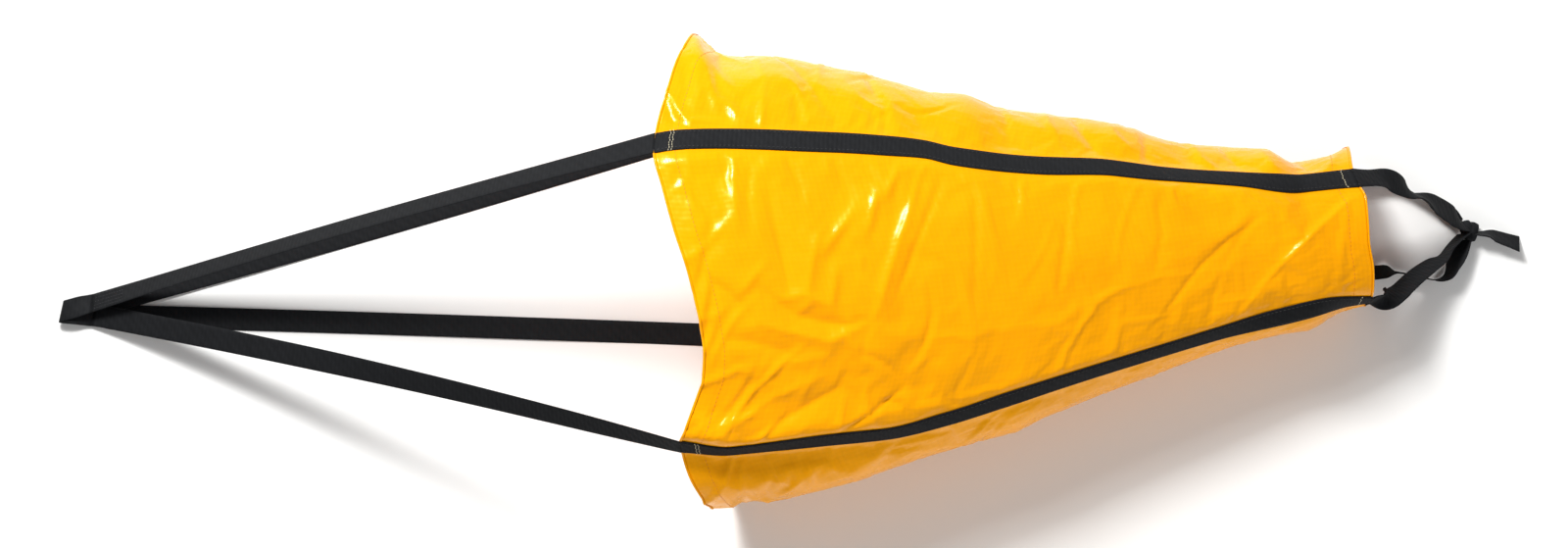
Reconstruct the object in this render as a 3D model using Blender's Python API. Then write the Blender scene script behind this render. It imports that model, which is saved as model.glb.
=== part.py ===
"""Conical sea anchor (drogue) of coated fabric with a webbing bridle, lying on its belly.

Metres, +Z up. +X runs along the cone from its wide mouth to its small tail opening, the bridle
reaches out along -X, and +Y is the left side. The origin is on the floor, under the middle.
"""
import math

import bmesh
import bpy
import numpy as np

# Driving sizes
MOUTH_X = -0.098            # mouth edge, midway between the two upper straps
CONE_LENGTH = 0.718         # mouth edge to tail edge
MOUTH_WIDTH = 0.511         # across the mouth as the cone lies
MOUTH_HEIGHT = 0.28
TAIL_WIDTH = 0.173
TAIL_HEIGHT = 0.15
TAIL_SIDE_SHIFT = -0.005    # the tail lies a little to the right of the mouth
BRIDLE_REACH = 0.717        # mouth edge forward to the fold of the tow eye
APEX_Y = 0.0096
KNOT_REACH = 0.138          # tail edge back to the middle of the knot
KNOT_Y = -0.0204
KNOT_RUN_IN = 0.018          # the tails lie stacked over this length before the knot
TAB_LENGTH = 0.050
TAB_SWAY = 0.021            # how far the tab swings to the right
TAB_LANDING = 0.6           # share of the tab by which it has come down to the floor
EYE_LENGTH = 0.032
EYE_HOLLOW = 0.008          # inside height of the tow eye, for a shackle
EYE_STACKED = 0.78          # share of the eye's length, from its fold, where the stack ends
EYE_SPREAD = 0.55           # share of it where the webbings are halfway open
EYE_LEAD = 0.004            # straight webbing on each side of the fold's bend

FABRIC = 0.0009             # coated fabric wall
HEM_WIDTH = 0.024
WEBBING = 0.0014
WEBBING_WIDTH = 0.025
TACK = 0.0007               # height of a bar tack's thread
TACK_LENGTH = 0.0045
TACK_INSET = 0.018          # from the fabric edge to the tack
EYE_TACK_REACH = 0.012      # from the tow eye to its stitching
EYE_TACK_INSET = 0.002      # from the webbing's edges to that stitching
KNOT_SIZE = (0.030, 0.024, 0.016)
KNOT_ROUNDING = 0.2         # share of the knot's size that its edges are rounded by
GAP = 0.0003
BEND_GAP = 0.0009           # between the ends of two webbings that meet at a bend
LEG_SAG = {"upper_left": 1.0, "upper_right": 1.4}    # 1 is a straight climb to the mouth
LOWER_LEG_RISE = (0.55, 0.80)   # shares of a lower leg, from the mouth, where it leaves the floor
LEG_TWIST = 0.78            # share of a bridle leg, from the mouth, over which it turns flat
TAIL_TWIST = 0.5            # share of a tail strap, from the cone, over which it turns flat

# Where the flat belly starts, as the cosine of the angle from straight down
BELLY = 0.75
LEFT_DRAWN_IN = 0.023       # the left side is drawn in halfway along
RIGHT_BULGE = 0.011

# Straps, by their angle from straight up towards the left, in degrees, at mouth and tail
STRAPS = {
    "upper_left": (32.0, 35.0),
    "lower_left": (147.0, 145.0),
    "lower_right": (197.0, 218.0),
    "upper_right": (315.0, 289.0),
}
PANELS = {
    "panel_top": ("upper_right", "upper_left"),
    "panel_left": ("upper_left", "lower_left"),
    "panel_belly": ("lower_left", "lower_right"),
    "panel_right": ("lower_right", "upper_right"),
}
# How far the taut bridle pulls the mouth edge forward (-) or lets it lie back (+), round the mouth
EDGE_PULL = (
    (0.0, 0.000),
    (32.0, -0.0315),
    (90.0, 0.012),
    (180.0, 0.010),
    (270.0, 0.012),
    (315.0, -0.0315),
    (345.0, -0.002),
    (360.0, 0.000),
)

# Colours (linear) with roughness
FABRIC_LOOK = ((1.0, 0.52, 0.0), 0.32)
HEM_LOOK = ((0.95, 0.42, 0.0), 0.38)
WEBBING_LOOK = ((0.035, 0.035, 0.042), 0.75)
THREAD_LOOK = ((0.75, 0.68, 0.52), 0.7)

# How finely the pieces are divided
GORE_ROWS = 18              # along the cone, for the gores and for the straps on them
GORE_COLUMNS = 10
STRAP_COLUMNS = 4
LEG_STATIONS = 16
EYE_STATIONS = 10
TAIL_STATIONS = 12
RUN_IN_STATIONS = (0.35, 0.7, 1.0)
TAB_STATIONS = 8
END_STATIONS = 2            # the webbing's cut end turns square to its path over these
KNOT_SEGMENTS = 3
ALONG_STEP = 1e-4           # share of the length over which a direction is measured
ROUND_STEP = 0.05           # the same round the cone, in degrees

LIFT = WEBBING + GAP        # the belly fabric rides this far above the floor, on its two straps
TAIL_X = MOUTH_X + CONE_LENGTH
APEX_X = MOUTH_X - BRIDLE_REACH
KNOT_X = TAIL_X + KNOT_REACH
LAYER = WEBBING + GAP


def clear_scene():
    for item in list(bpy.data.objects):
        bpy.data.objects.remove(item, do_unlink=True)


def look(name, colour_and_roughness):
    colour, roughness = colour_and_roughness
    material = bpy.data.materials.new(name)
    material.use_nodes = True
    shader = material.node_tree.nodes["Principled BSDF"]
    shader.inputs["Base Color"].default_value = (*colour, 1.0)
    shader.inputs["Roughness"].default_value = roughness
    shader.inputs["Metallic"].default_value = 0.0
    return material


def add_object(name, mesh, collection, material):
    mesh.materials.append(material)
    piece = bpy.data.objects.new(name, mesh)
    collection.objects.link(piece)
    return piece


def ease(share):
    """A smooth rise from 0 to 1."""
    return share * share * (3 - 2 * share)


# ---- the cone's skin -------------------------------------------------------------------------

def edge_pull(angle):
    """Forward pull of the mouth edge at an angle in degrees, a smooth ease between the points."""
    angle %= 360.0
    span = max(index for index, (start, _) in enumerate(EDGE_PULL[:-1]) if start <= angle)
    (start, pull_a), (end, pull_b) = EDGE_PULL[span:span + 2]
    return pull_a + (pull_b - pull_a) * ease((angle - start) / (end - start))


def skin(t, angle):
    """Outer face of the fabric: t is 0 at the mouth and 1 at the tail, angle is in degrees."""
    turn = math.radians(angle)
    side = math.sin(turn)
    up = math.cos(turn)
    half_width = (MOUTH_WIDTH + (TAIL_WIDTH - MOUTH_WIDTH) * t) / 2
    half_width += (-LEFT_DRAWN_IN if side > 0 else RIGHT_BULGE) * 4 * t * (1 - t)
    half_height = (MOUTH_HEIGHT + (TAIL_HEIGHT - MOUTH_HEIGHT) * t - LIFT) / 2
    front = MOUTH_X + edge_pull(angle)
    x = front + (TAIL_X - front) * t
    y = TAIL_SIDE_SHIFT * t + half_width * side
    if up >= 0:
        z = LIFT + half_height * (1 + up)
    else:
        z = LIFT + half_height * (1 - min(1.0, -up / BELLY)) ** 2
    return np.array((x, y, z))


def skin_frame(t, angle):
    """Point, directions along and round, outward normal, and metres per degree of the skin."""
    along = skin(t + ALONG_STEP, angle) - skin(t - ALONG_STEP, angle)
    around = skin(t, angle + ROUND_STEP) - skin(t, angle - ROUND_STEP)
    along /= np.linalg.norm(along)
    speed = np.linalg.norm(around) / (2 * ROUND_STEP)
    around /= np.linalg.norm(around)
    normal = np.cross(around, along)
    normal /= np.linalg.norm(normal)
    return skin(t, angle), along, around, -normal, speed


def strap_angle(name, t):
    at_mouth, at_tail = STRAPS[name]
    return at_mouth + (at_tail - at_mouth) * t


def raised(t, angle, height):
    point, _, _, normal, _ = skin_frame(t, angle)
    return point + normal * height


# ---- closed meshes ---------------------------------------------------------------------------

def closed_slab(name, top, bottom, ring=False):
    """A closed body between two grids of points with equal rows and columns."""
    mesh = bpy.data.meshes.new(name)
    body = bmesh.new()
    rows, columns = len(top), len(top[0])
    upper = [[body.verts.new(point) for point in row] for row in top]
    lower = [[body.verts.new(point) for point in row] for row in bottom]
    spans = columns if ring else columns - 1
    for r in range(rows - 1):
        for c in range(spans):
            n = (c + 1) % columns
            body.faces.new((upper[r][c], upper[r][n], upper[r + 1][n], upper[r + 1][c]))
            body.faces.new((lower[r][c], lower[r + 1][c], lower[r + 1][n], lower[r][n]))
    for c in range(spans):
        n = (c + 1) % columns
        body.faces.new((upper[0][c], lower[0][c], lower[0][n], upper[0][n]))
        body.faces.new((upper[-1][c], upper[-1][n], lower[-1][n], lower[-1][c]))
    if not ring:
        for r in range(rows - 1):
            body.faces.new((upper[r][0], upper[r + 1][0], lower[r + 1][0], lower[r][0]))
            body.faces.new((upper[r][-1], lower[r][-1], lower[r + 1][-1], upper[r + 1][-1]))
    bmesh.ops.recalc_face_normals(body, faces=body.faces)
    body.to_mesh(mesh)
    body.free()
    return mesh


def ribbon(name, stations):
    """Flat webbing: each station is (centre, direction across). Its ends are cut along theirs."""
    centres = np.array([centre for centre, _ in stations])
    along = np.gradient(centres, axis=0)
    last = len(stations) - 1
    top = []
    bottom = []
    for index, ((centre, across), direction) in enumerate(zip(stations, along)):
        direction = direction / np.linalg.norm(direction)
        squared = min(1.0, index / END_STATIONS, (last - index) / END_STATIONS)
        across = np.array(across) - direction * np.dot(across, direction) * squared
        across /= np.linalg.norm(across)
        up = np.cross(direction, across)
        up /= np.linalg.norm(up)
        side = across * WEBBING_WIDTH / 2
        rise = up * WEBBING / 2
        top.append([centre - side + rise, centre + side + rise])
        bottom.append([centre - side - rise, centre + side - rise])
    return closed_slab(name, top, bottom)


def smooth_path(points, count):
    """Points along a Catmull-Rom curve through the given points."""
    points = [np.array(point, float) for point in points]
    padded = [2 * points[0] - points[1], *points, 2 * points[-1] - points[-2]]
    path = []
    spans = len(points) - 1
    for index in range(count + 1):
        place = index / count * spans
        span = min(int(place), spans - 1)
        u = place - span
        a, b, c, d = padded[span:span + 4]
        path.append(0.5 * (2 * b + (c - a) * u + (2 * a - 5 * b + 4 * c - d) * u * u
                           + (3 * b - a - 3 * c + d) * u ** 3))
    return path


# ---- the pieces ------------------------------------------------------------------------------

def gore_angles(name, t):
    """Evenly spaced angles across a gore, from the middle of one strap to that of the next."""
    first, second = PANELS[name]
    start = strap_angle(first, t)
    end = strap_angle(second, t)
    if end < start:
        end += 360.0
    return [start + (end - start) * c / GORE_COLUMNS for c in range(GORE_COLUMNS + 1)]


def panel(name):
    """One gore of the cone: its two long edges lie under the middles of two straps."""
    outer = []
    inner = []
    for r in range(GORE_ROWS + 1):
        t = r / GORE_ROWS
        angles = gore_angles(name, t)
        angles[0] += GAP / 2 / skin_frame(t, angles[0])[4]
        angles[-1] -= GAP / 2 / skin_frame(t, angles[-1])[4]
        outer.append([raised(t, angle, 0.0) for angle in angles])
        inner.append([raised(t, angle, -FABRIC) for angle in angles])
    return closed_slab(name, outer, inner)


def hem(name, at_mouth):
    """The turned-in band of doubled fabric just inside an edge of the cone."""
    share = HEM_WIDTH / CONE_LENGTH
    outer = []
    inner = []
    for t in (0.0, share) if at_mouth else (1 - share, 1.0):
        angles = [angle for gore in PANELS for angle in gore_angles(gore, t)[:-1]]
        outer.append([raised(t, angle, -FABRIC - GAP) for angle in angles])
        inner.append([raised(t, angle, -2 * FABRIC - GAP) for angle in angles])
    return closed_slab(name, outer, inner, ring=True)


def on_skin(name, strap, start, end, rows, low, high):
    """A band lying along a strap's line between two heights above the skin."""
    top = []
    bottom = []
    for r in range(rows + 1):
        t = start + (end - start) * r / rows
        middle = strap_angle(strap, t)
        speed = skin_frame(t, middle)[4]
        upper_row = []
        lower_row = []
        for c in range(STRAP_COLUMNS + 1):
            angle = middle + (c / STRAP_COLUMNS - 0.5) * WEBBING_WIDTH / speed
            upper_row.append(raised(t, angle, high))
            lower_row.append(raised(t, angle, low))
        top.append(upper_row)
        bottom.append(lower_row)
    return closed_slab(name, top, bottom)


def strap_end(strap, t):
    """Middle of the strap's cut across at the mouth (t = 0) or the tail (t = 1)."""
    point, along, around, normal, _ = skin_frame(t, strap_angle(strap, t))
    return point + normal * (GAP + WEBBING / 2), along, around


def level(layer):
    """Height of the middle of a webbing in a stack that lies on the floor."""
    return WEBBING / 2 + layer * LAYER


# The order in which the webbings lie in the tow eye and in the knot, from the floor up
EYE_LAYER = {"lower_right": 0, "lower_left": 1, "upper_right": 2, "upper_left": 3}
KNOT_LAYER = {"lower_left": 0, "lower_right": 1, "upper_right": 2, "upper_left": 3}

# Each tail's bend on its way to the knot: how far along, how far to the side, and by what
# share of its length it has come down to its layer
TAIL_ROUTES = {
    "upper_left": (0.45, 0.028, 0.80),
    "lower_left": (0.45, 0.024, 0.40),
    "lower_right": (0.45, -0.052, 0.40),
    "upper_right": (0.40, -0.066, 0.66),
}

EYE_TURN = math.atan2(skin(0, STRAPS["upper_left"][0])[1] - APEX_Y, BRIDLE_REACH)
EYE_ALONG = np.array((math.cos(EYE_TURN), math.sin(EYE_TURN), 0.0))
EYE_ACROSS = np.array((-math.sin(EYE_TURN), math.cos(EYE_TURN), 0.0))
APEX = np.array((APEX_X, APEX_Y, 0.0))


def level_across(heading, side):
    """The level direction square to a heading, on the same side as the one given."""
    across = np.array((-heading[1], heading[0], 0.0))
    across /= np.linalg.norm(across)
    return across * math.copysign(1.0, np.dot(across, side))


def bridle_leg(name, strap):
    """One leg, from its strap's end at the mouth to its layer in the tow eye."""
    mouth, along, around = strap_end(strap, 0.0)
    mouth = mouth - along * BEND_GAP
    eye = APEX + EYE_ALONG * (EYE_LENGTH + GAP)
    eye[2] = level(EYE_LAYER[strap])
    rise_start, rise_end = LOWER_LEG_RISE
    stations = []
    for index in range(LEG_STATIONS + 1):
        share = index / LEG_STATIONS
        centre = mouth + (eye - mouth) * share
        if strap in LEG_SAG:
            centre[2] = eye[2] + (mouth[2] - eye[2]) * (1 - share) ** LEG_SAG[strap]
        else:
            climb = min(1.0, max(0.0, (share - rise_start) / (rise_end - rise_start)))
            centre[2] = mouth[2] + (eye[2] - mouth[2]) * ease(climb)
        turned = ease(min(1.0, share / LEG_TWIST))
        across = around + (level_across(eye - mouth, around) - around) * turned
        stations.append((centre, across))
    stations[-1] = (eye, EYE_ACROSS * np.sign(around[1]))
    return ribbon(name, stations)


def eye_loop(name, turn_radius, low_layer, high_layer):
    """Half of the tow eye: a webbing folded back on itself round an open hollow."""
    low = level(low_layer)
    high = level(high_layer)
    top = low + 2 * turn_radius
    bend = turn_radius + WEBBING / 2 + (0 if low_layer == 0 else LAYER)
    profile = [(EYE_LENGTH, high), (EYE_LENGTH * EYE_STACKED, high)]
    profile += [(EYE_LENGTH * EYE_SPREAD, (high + top) / 2), (bend + EYE_LEAD, top)]
    for index in range(1, EYE_STATIONS):
        turn = math.pi * index / EYE_STATIONS
        profile.append((bend - turn_radius * math.sin(turn),
                        low + turn_radius * (1 + math.cos(turn))))
    profile += [(bend + EYE_LEAD, low), (EYE_LENGTH, low)]
    stations = []
    for reach, height in profile:
        centre = APEX + EYE_ALONG * reach
        centre[2] = height
        stations.append((centre, EYE_ACROSS))
    return ribbon(name, stations)


def tail_leg(name, strap):
    """A strap's free end, from the tail edge to its layer in the knot."""
    edge, along, around = strap_end(strap, 1.0)
    edge = edge + along * BEND_GAP
    knot = np.array((KNOT_X - KNOT_SIZE[0] / 2 - BEND_GAP, KNOT_Y, level(KNOT_LAYER[strap])))
    run_in = knot - np.array((KNOT_RUN_IN, 0.0, 0.0))
    reach, side, landing = TAIL_ROUTES[strap]
    bend = edge + (run_in - edge) * reach
    bend[1] = side
    path = smooth_path([edge, bend, run_in], TAIL_STATIONS)
    path += [run_in + (knot - run_in) * share for share in RUN_IN_STATIONS]
    stations = []
    for index, (centre, heading) in enumerate(zip(path, np.gradient(np.array(path), axis=0))):
        share = index / (len(path) - 1)
        centre[2] = knot[2] + (edge[2] - knot[2]) * (1 - ease(min(1.0, share / landing)))
        turned = ease(min(1.0, share / TAIL_TWIST))
        stations.append((centre, around + (level_across(heading, around) - around) * turned))
    return ribbon(name, stations)


def knot(name):
    """The four ends tied together, as one rounded lump."""
    mesh = bpy.data.meshes.new(name)
    body = bmesh.new()
    bmesh.ops.create_cube(body, size=1.0)
    bmesh.ops.bevel(body, geom=body.edges[:], offset=KNOT_ROUNDING, segments=KNOT_SEGMENTS,
                    affect="EDGES")
    for corner in body.verts:
        corner.co.x = KNOT_X + corner.co.x * KNOT_SIZE[0]
        corner.co.y = KNOT_Y + corner.co.y * KNOT_SIZE[1]
        corner.co.z = (corner.co.z + 0.5) * KNOT_SIZE[2]
    body.to_mesh(mesh)
    body.free()
    return mesh


def tab(name):
    """The free end beyond the knot: it comes down to the floor and lies flat there."""
    start = np.array((KNOT_X + KNOT_SIZE[0] / 2 + BEND_GAP, KNOT_Y, KNOT_SIZE[2] / 2))
    stations = []
    for index in range(TAB_STATIONS + 1):
        share = index / TAB_STATIONS
        centre = start + np.array((TAB_LENGTH, -TAB_SWAY, 0.0)) * share
        centre[2] += (WEBBING / 2 - start[2]) * ease(min(1.0, share / TAB_LANDING))
        stations.append((centre, (0.0, 1.0, 0.0)))
    return ribbon(name, stations)


def eye_stitching(name):
    """The block of stitches that closes the tow eye, on top of the upper left leg."""
    eye = APEX + EYE_ALONG * (EYE_LENGTH + GAP)
    eye[2] = level(EYE_LAYER["upper_left"])
    mouth = strap_end("upper_left", 0.0)[0]
    along = (mouth - eye) / np.linalg.norm(mouth - eye)
    up = np.cross(along, EYE_ACROSS)
    top = []
    bottom = []
    for reach in (EYE_TACK_REACH, EYE_TACK_REACH + 2 * TACK_LENGTH):
        base = eye + along * reach + up * (WEBBING / 2 + GAP)
        sides = [EYE_ACROSS * side * (WEBBING_WIDTH / 2 - EYE_TACK_INSET) for side in (-1, 1)]
        bottom.append([base + side for side in sides])
        top.append([base + side + up * TACK for side in sides])
    return closed_slab(name, top, bottom)


def build():
    clear_scene()
    parts = bpy.data.collections.new("sea_anchor")
    bpy.context.scene.collection.children.link(parts)
    fabric = look("coated_fabric", FABRIC_LOOK)
    lining = look("hem_fabric", HEM_LOOK)
    webbing = look("webbing", WEBBING_LOOK)
    thread = look("thread", THREAD_LOOK)

    for name in PANELS:
        add_object(name, panel(name), parts, fabric)
    add_object("mouth_hem", hem("mouth_hem", True), parts, lining)
    add_object("tail_hem", hem("tail_hem", False), parts, lining)

    inset = TACK_INSET / CONE_LENGTH
    tack_share = TACK_LENGTH / CONE_LENGTH
    tack_base = WEBBING + 2 * GAP
    for strap in STRAPS:
        name = "strap_" + strap
        band = on_skin(name, strap, 0.0, 1.0, GORE_ROWS, GAP, GAP + WEBBING)
        add_object(name, band, parts, webbing)
        name = "leg_" + strap
        add_object(name, bridle_leg(name, strap), parts, webbing)
        name = "tail_" + strap
        add_object(name, tail_leg(name, strap), parts, webbing)

    for strap in STRAPS:
        under = strap.startswith("lower")
        base = -FABRIC * 2 - GAP * 2 - TACK if under else tack_base
        for place, start in (("mouth", inset), ("tail", 1 - inset - tack_share)):
            name = place + "_tack_" + strap
            body = on_skin(name, strap, start, start + tack_share, 1, base, base + TACK)
            add_object(name, body, parts, thread)

    inner_turn = EYE_HOLLOW / 2 + WEBBING / 2
    add_object("eye_inner", eye_loop("eye_inner", inner_turn, 1, 2), parts, webbing)
    add_object("eye_outer", eye_loop("eye_outer", inner_turn + LAYER, 0, 3), parts, webbing)
    add_object("eye_stitching", eye_stitching("eye_stitching"), parts, thread)
    add_object("tail_knot", knot("tail_knot"), parts, webbing)
    add_object("tail_tab", tab("tail_tab"), parts, webbing)


build()
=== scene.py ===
"""Conical sea anchor (drogue) of coated fabric with a webbing bridle, lying on its belly.

Metres. The cone's wide mouth opens towards -X, its tail towards +X, and +Y is its left side.
"""
import functools
import math

import bmesh
import bpy
import numpy as np
from bpy.props import FloatProperty, FloatVectorProperty, IntProperty, PointerProperty
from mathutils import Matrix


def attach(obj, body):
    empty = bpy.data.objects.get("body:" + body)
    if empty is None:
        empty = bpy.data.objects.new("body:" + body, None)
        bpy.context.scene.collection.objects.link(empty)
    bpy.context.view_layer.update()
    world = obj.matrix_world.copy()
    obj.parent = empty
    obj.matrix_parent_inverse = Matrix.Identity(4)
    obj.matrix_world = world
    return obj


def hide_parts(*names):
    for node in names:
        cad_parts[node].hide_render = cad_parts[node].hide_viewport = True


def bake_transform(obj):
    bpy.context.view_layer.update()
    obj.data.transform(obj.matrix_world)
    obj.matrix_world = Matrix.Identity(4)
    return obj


bl_info = {
    "name": "Fabric sea anchor",
    "version": (1, 0, 0),
    "blender": (4, 5, 0),
    "location": "3D View > Sidebar > Sea Anchor",
    "description": "Builds a conical fabric sea anchor with its webbing bridle and tail",
    "category": "Add Mesh",
}

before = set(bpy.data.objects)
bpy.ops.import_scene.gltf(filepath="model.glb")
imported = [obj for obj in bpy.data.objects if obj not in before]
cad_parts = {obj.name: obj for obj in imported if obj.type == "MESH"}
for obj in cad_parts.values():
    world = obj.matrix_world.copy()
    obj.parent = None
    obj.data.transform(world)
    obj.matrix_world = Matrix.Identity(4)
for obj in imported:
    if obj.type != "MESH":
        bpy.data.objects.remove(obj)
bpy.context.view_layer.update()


def linear(hex_colour):
    """An sRGB hex colour as the linear red, green and blue that Blender works in."""
    parts = [int(hex_colour[i:i + 2], 16) / 255 for i in (1, 3, 5)]
    return [p / 12.92 if p <= 0.04045 else ((p + 0.055) / 1.055) ** 2.4 for p in parts]


# ---- sizes and colours a user would change ---------------------------------------------------

class FabricSettings(bpy.types.PropertyGroup):
    wall: FloatProperty(name="Wall", description="Thickness of the coated fabric",
                        default=0.0008, min=0.0003, max=0.003, unit="LENGTH")
    hem_width: FloatProperty(name="Hem width", description="Depth of the turned-in hems",
                             default=0.024, min=0.01, max=0.05, unit="LENGTH")
    colour: FloatVectorProperty(name="Colour", description="Colour of the coating",
                                subtype="COLOR", size=3, min=0, max=1,
                                default=linear("#F7A200"))


class WebbingSettings(bpy.types.PropertyGroup):
    width: FloatProperty(name="Width", description="Width of the webbing",
                         default=0.025, min=0.01, max=0.05, unit="LENGTH")
    thickness: FloatProperty(name="Thickness", description="Thickness of the webbing",
                             default=0.0014, min=0.0008, max=0.003, unit="LENGTH")
    colour: FloatVectorProperty(name="Colour", description="Colour of the webbing",
                                subtype="COLOR", size=3, min=0, max=1,
                                default=linear("#17181A"))


class StitchSettings(bpy.types.PropertyGroup):
    pitch: FloatProperty(name="Pitch", description="From one stitch to the next",
                         default=0.0046, min=0.002, max=0.01, unit="LENGTH")
    length: FloatProperty(name="Length", description="Length of thread that shows in a stitch",
                          default=0.0034, min=0.001, max=0.01, unit="LENGTH")
    thread: FloatProperty(name="Thread", description="Thickness of the sewing thread",
                          default=0.0007, min=0.0002, max=0.002, unit="LENGTH")
    tack_colour: FloatVectorProperty(name="Bar tack colour", subtype="COLOR", size=3,
                                     description="Thread across the webbing at each hem",
                                     min=0, max=1, default=linear("#C9BFA0"))
    seed: IntProperty(name="Seed", description="Varies how the stitches tilt", default=7)


class StageSettings(bpy.types.PropertyGroup):
    camera_height: FloatProperty(name="Camera height", description="Camera above the floor",
                                 default=3.2, min=1, max=10, unit="LENGTH")
    floor_colour: FloatVectorProperty(name="Floor", description="Colour of the floor",
                                      subtype="COLOR", size=3, min=0, max=1,
                                      default=linear("#F6F6F4"))
    key: FloatProperty(name="Key light", description="Power of the main soft light",
                       default=66.0, min=0, max=500, unit="POWER")


# ---- the cone's lie on the floor -------------------------------------------------------------

LIFT = 0.0017               # the belly rides on the webbing under it
BELLY = 0.75                # where the flat belly starts, as the cosine from straight down
MOUTH_TOP = 0.278
TAIL_TOP = 0.149
MOUTH_X = -0.098
TAIL_X = 0.62

# Outline of the cone as it lies, (x, y), left side and right side
LEFT_EDGE = (
    (-0.130, 0.236), (-0.084, 0.232), (-0.058, 0.2282), (-0.008, 0.2247), (0.062, 0.2072),
    (0.114, 0.192), (0.166, 0.1735), (0.197, 0.1692), (0.242, 0.1501), (0.291, 0.1402),
    (0.342, 0.1302), (0.381, 0.1189), (0.402, 0.1088), (0.440, 0.0976), (0.484, 0.0912),
    (0.525, 0.085), (0.5555, 0.070), (0.592, 0.0727), (0.617, 0.0817),
)
RIGHT_EDGE = (
    (-0.130, -0.248), (-0.103, -0.2485), (-0.085, -0.2475), (-0.071, -0.2485),
    (-0.025, -0.2480), (0.050, -0.2380), (0.089, -0.2279), (0.152, -0.2129),
    (0.199, -0.2041), (0.226, -0.1989), (0.266, -0.1841), (0.354, -0.1581),
    (0.524, -0.1165), (0.5535, -0.1145), (0.598, -0.0972), (0.627, -0.0919),
)
# Corners of the mouth that stand out beyond those lines, (x, how far)
LEFT_EAR = ((-0.13, 0.022), (-0.084, 0.0205), (-0.073, 0.010), (-0.058, 0.0), (0.7, 0.0))
RIGHT_EAR = ((-0.13, -0.002), (-0.103, -0.0035), (-0.085, -0.005), (-0.068, 0.0), (0.7, 0.0))

# The two upper webbings' lines along the cone, (x, y)
UPPER_LEFT_LINE = (
    (-0.130, 0.1345), (-0.110, 0.1363), (0.0535, 0.1227), (0.104, 0.1162), (0.149, 0.109),
    (0.177, 0.0999), (0.268, 0.0836), (0.336, 0.0773), (0.362, 0.0726), (0.384, 0.0684),
    (0.476, 0.0551), (0.552, 0.0451), (0.603, 0.0462), (0.63, 0.0462),
)
UPPER_RIGHT_LINE = (
    (-0.1265, -0.1795), (-0.073, -0.1885), (-0.024, -0.1872), (0.031, -0.1857),
    (0.083, -0.1854), (0.151, -0.175), (0.223, -0.158), (0.350, -0.1297), (0.518, -0.0962),
    (0.601, -0.0858), (0.63, -0.0862),
)
# How much steeper than the cone each upper webbing lies, (x, degrees), within this far of it
SEAM_HALF = 0.0125
UPPER_LEFT_TILT = ((-0.13, 10), (0.05, 7), (0.11, 7), (0.16, 12), (0.27, 12), (0.35, 17),
                   (0.40, 19), (0.48, 16), (0.55, -2), (0.62, 0))
UPPER_RIGHT_TILT = ((-0.13, 28), (-0.075, 36), (0.03, 27), (0.10, 20), (0.15, 14), (0.35, 14),
                    (0.45, 8), (0.52, -6), (0.60, 8), (0.63, 10))
# The two lower webbings, by their angle from straight up towards the left, mouth and tail
LOWER_LEFT_TURN = (137.0, 145.0)
LOWER_RIGHT_TURN = (195.3, 218.0)

# The mouth's edge and the tail's edge, (angle from straight up towards the left, x)
MOUTH_EDGE = (
    (-110, -0.090), (-90, -0.100), (-70, -0.113), (-50, -0.1273), (-44, -0.1277),
    (-39, -0.121), (-30, -0.1056), (-25.6, -0.0991), (-17, -0.0953), (-10.7, -0.0972),
    (-3.9, -0.1009), (3.4, -0.1066), (11.3, -0.1151), (23, -0.1247), (32.7, -0.1315),
    (39.5, -0.1279), (58, -0.1085), (80, -0.087), (95, -0.083), (115, -0.086),
    (142, -0.090), (170, -0.087), (197, -0.090), (225, -0.088), (250, -0.090),
)
TAIL_EDGE = (
    (-110, 0.624), (-90, 0.623), (-61.5, 0.6225), (-31, 0.6212), (-9.4, 0.6171),
    (19.4, 0.6175), (30.6, 0.6134), (47, 0.6094), (70, 0.613), (90, 0.6164), (120, 0.619),
    (180, 0.620), (250, 0.624),
)

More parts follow.
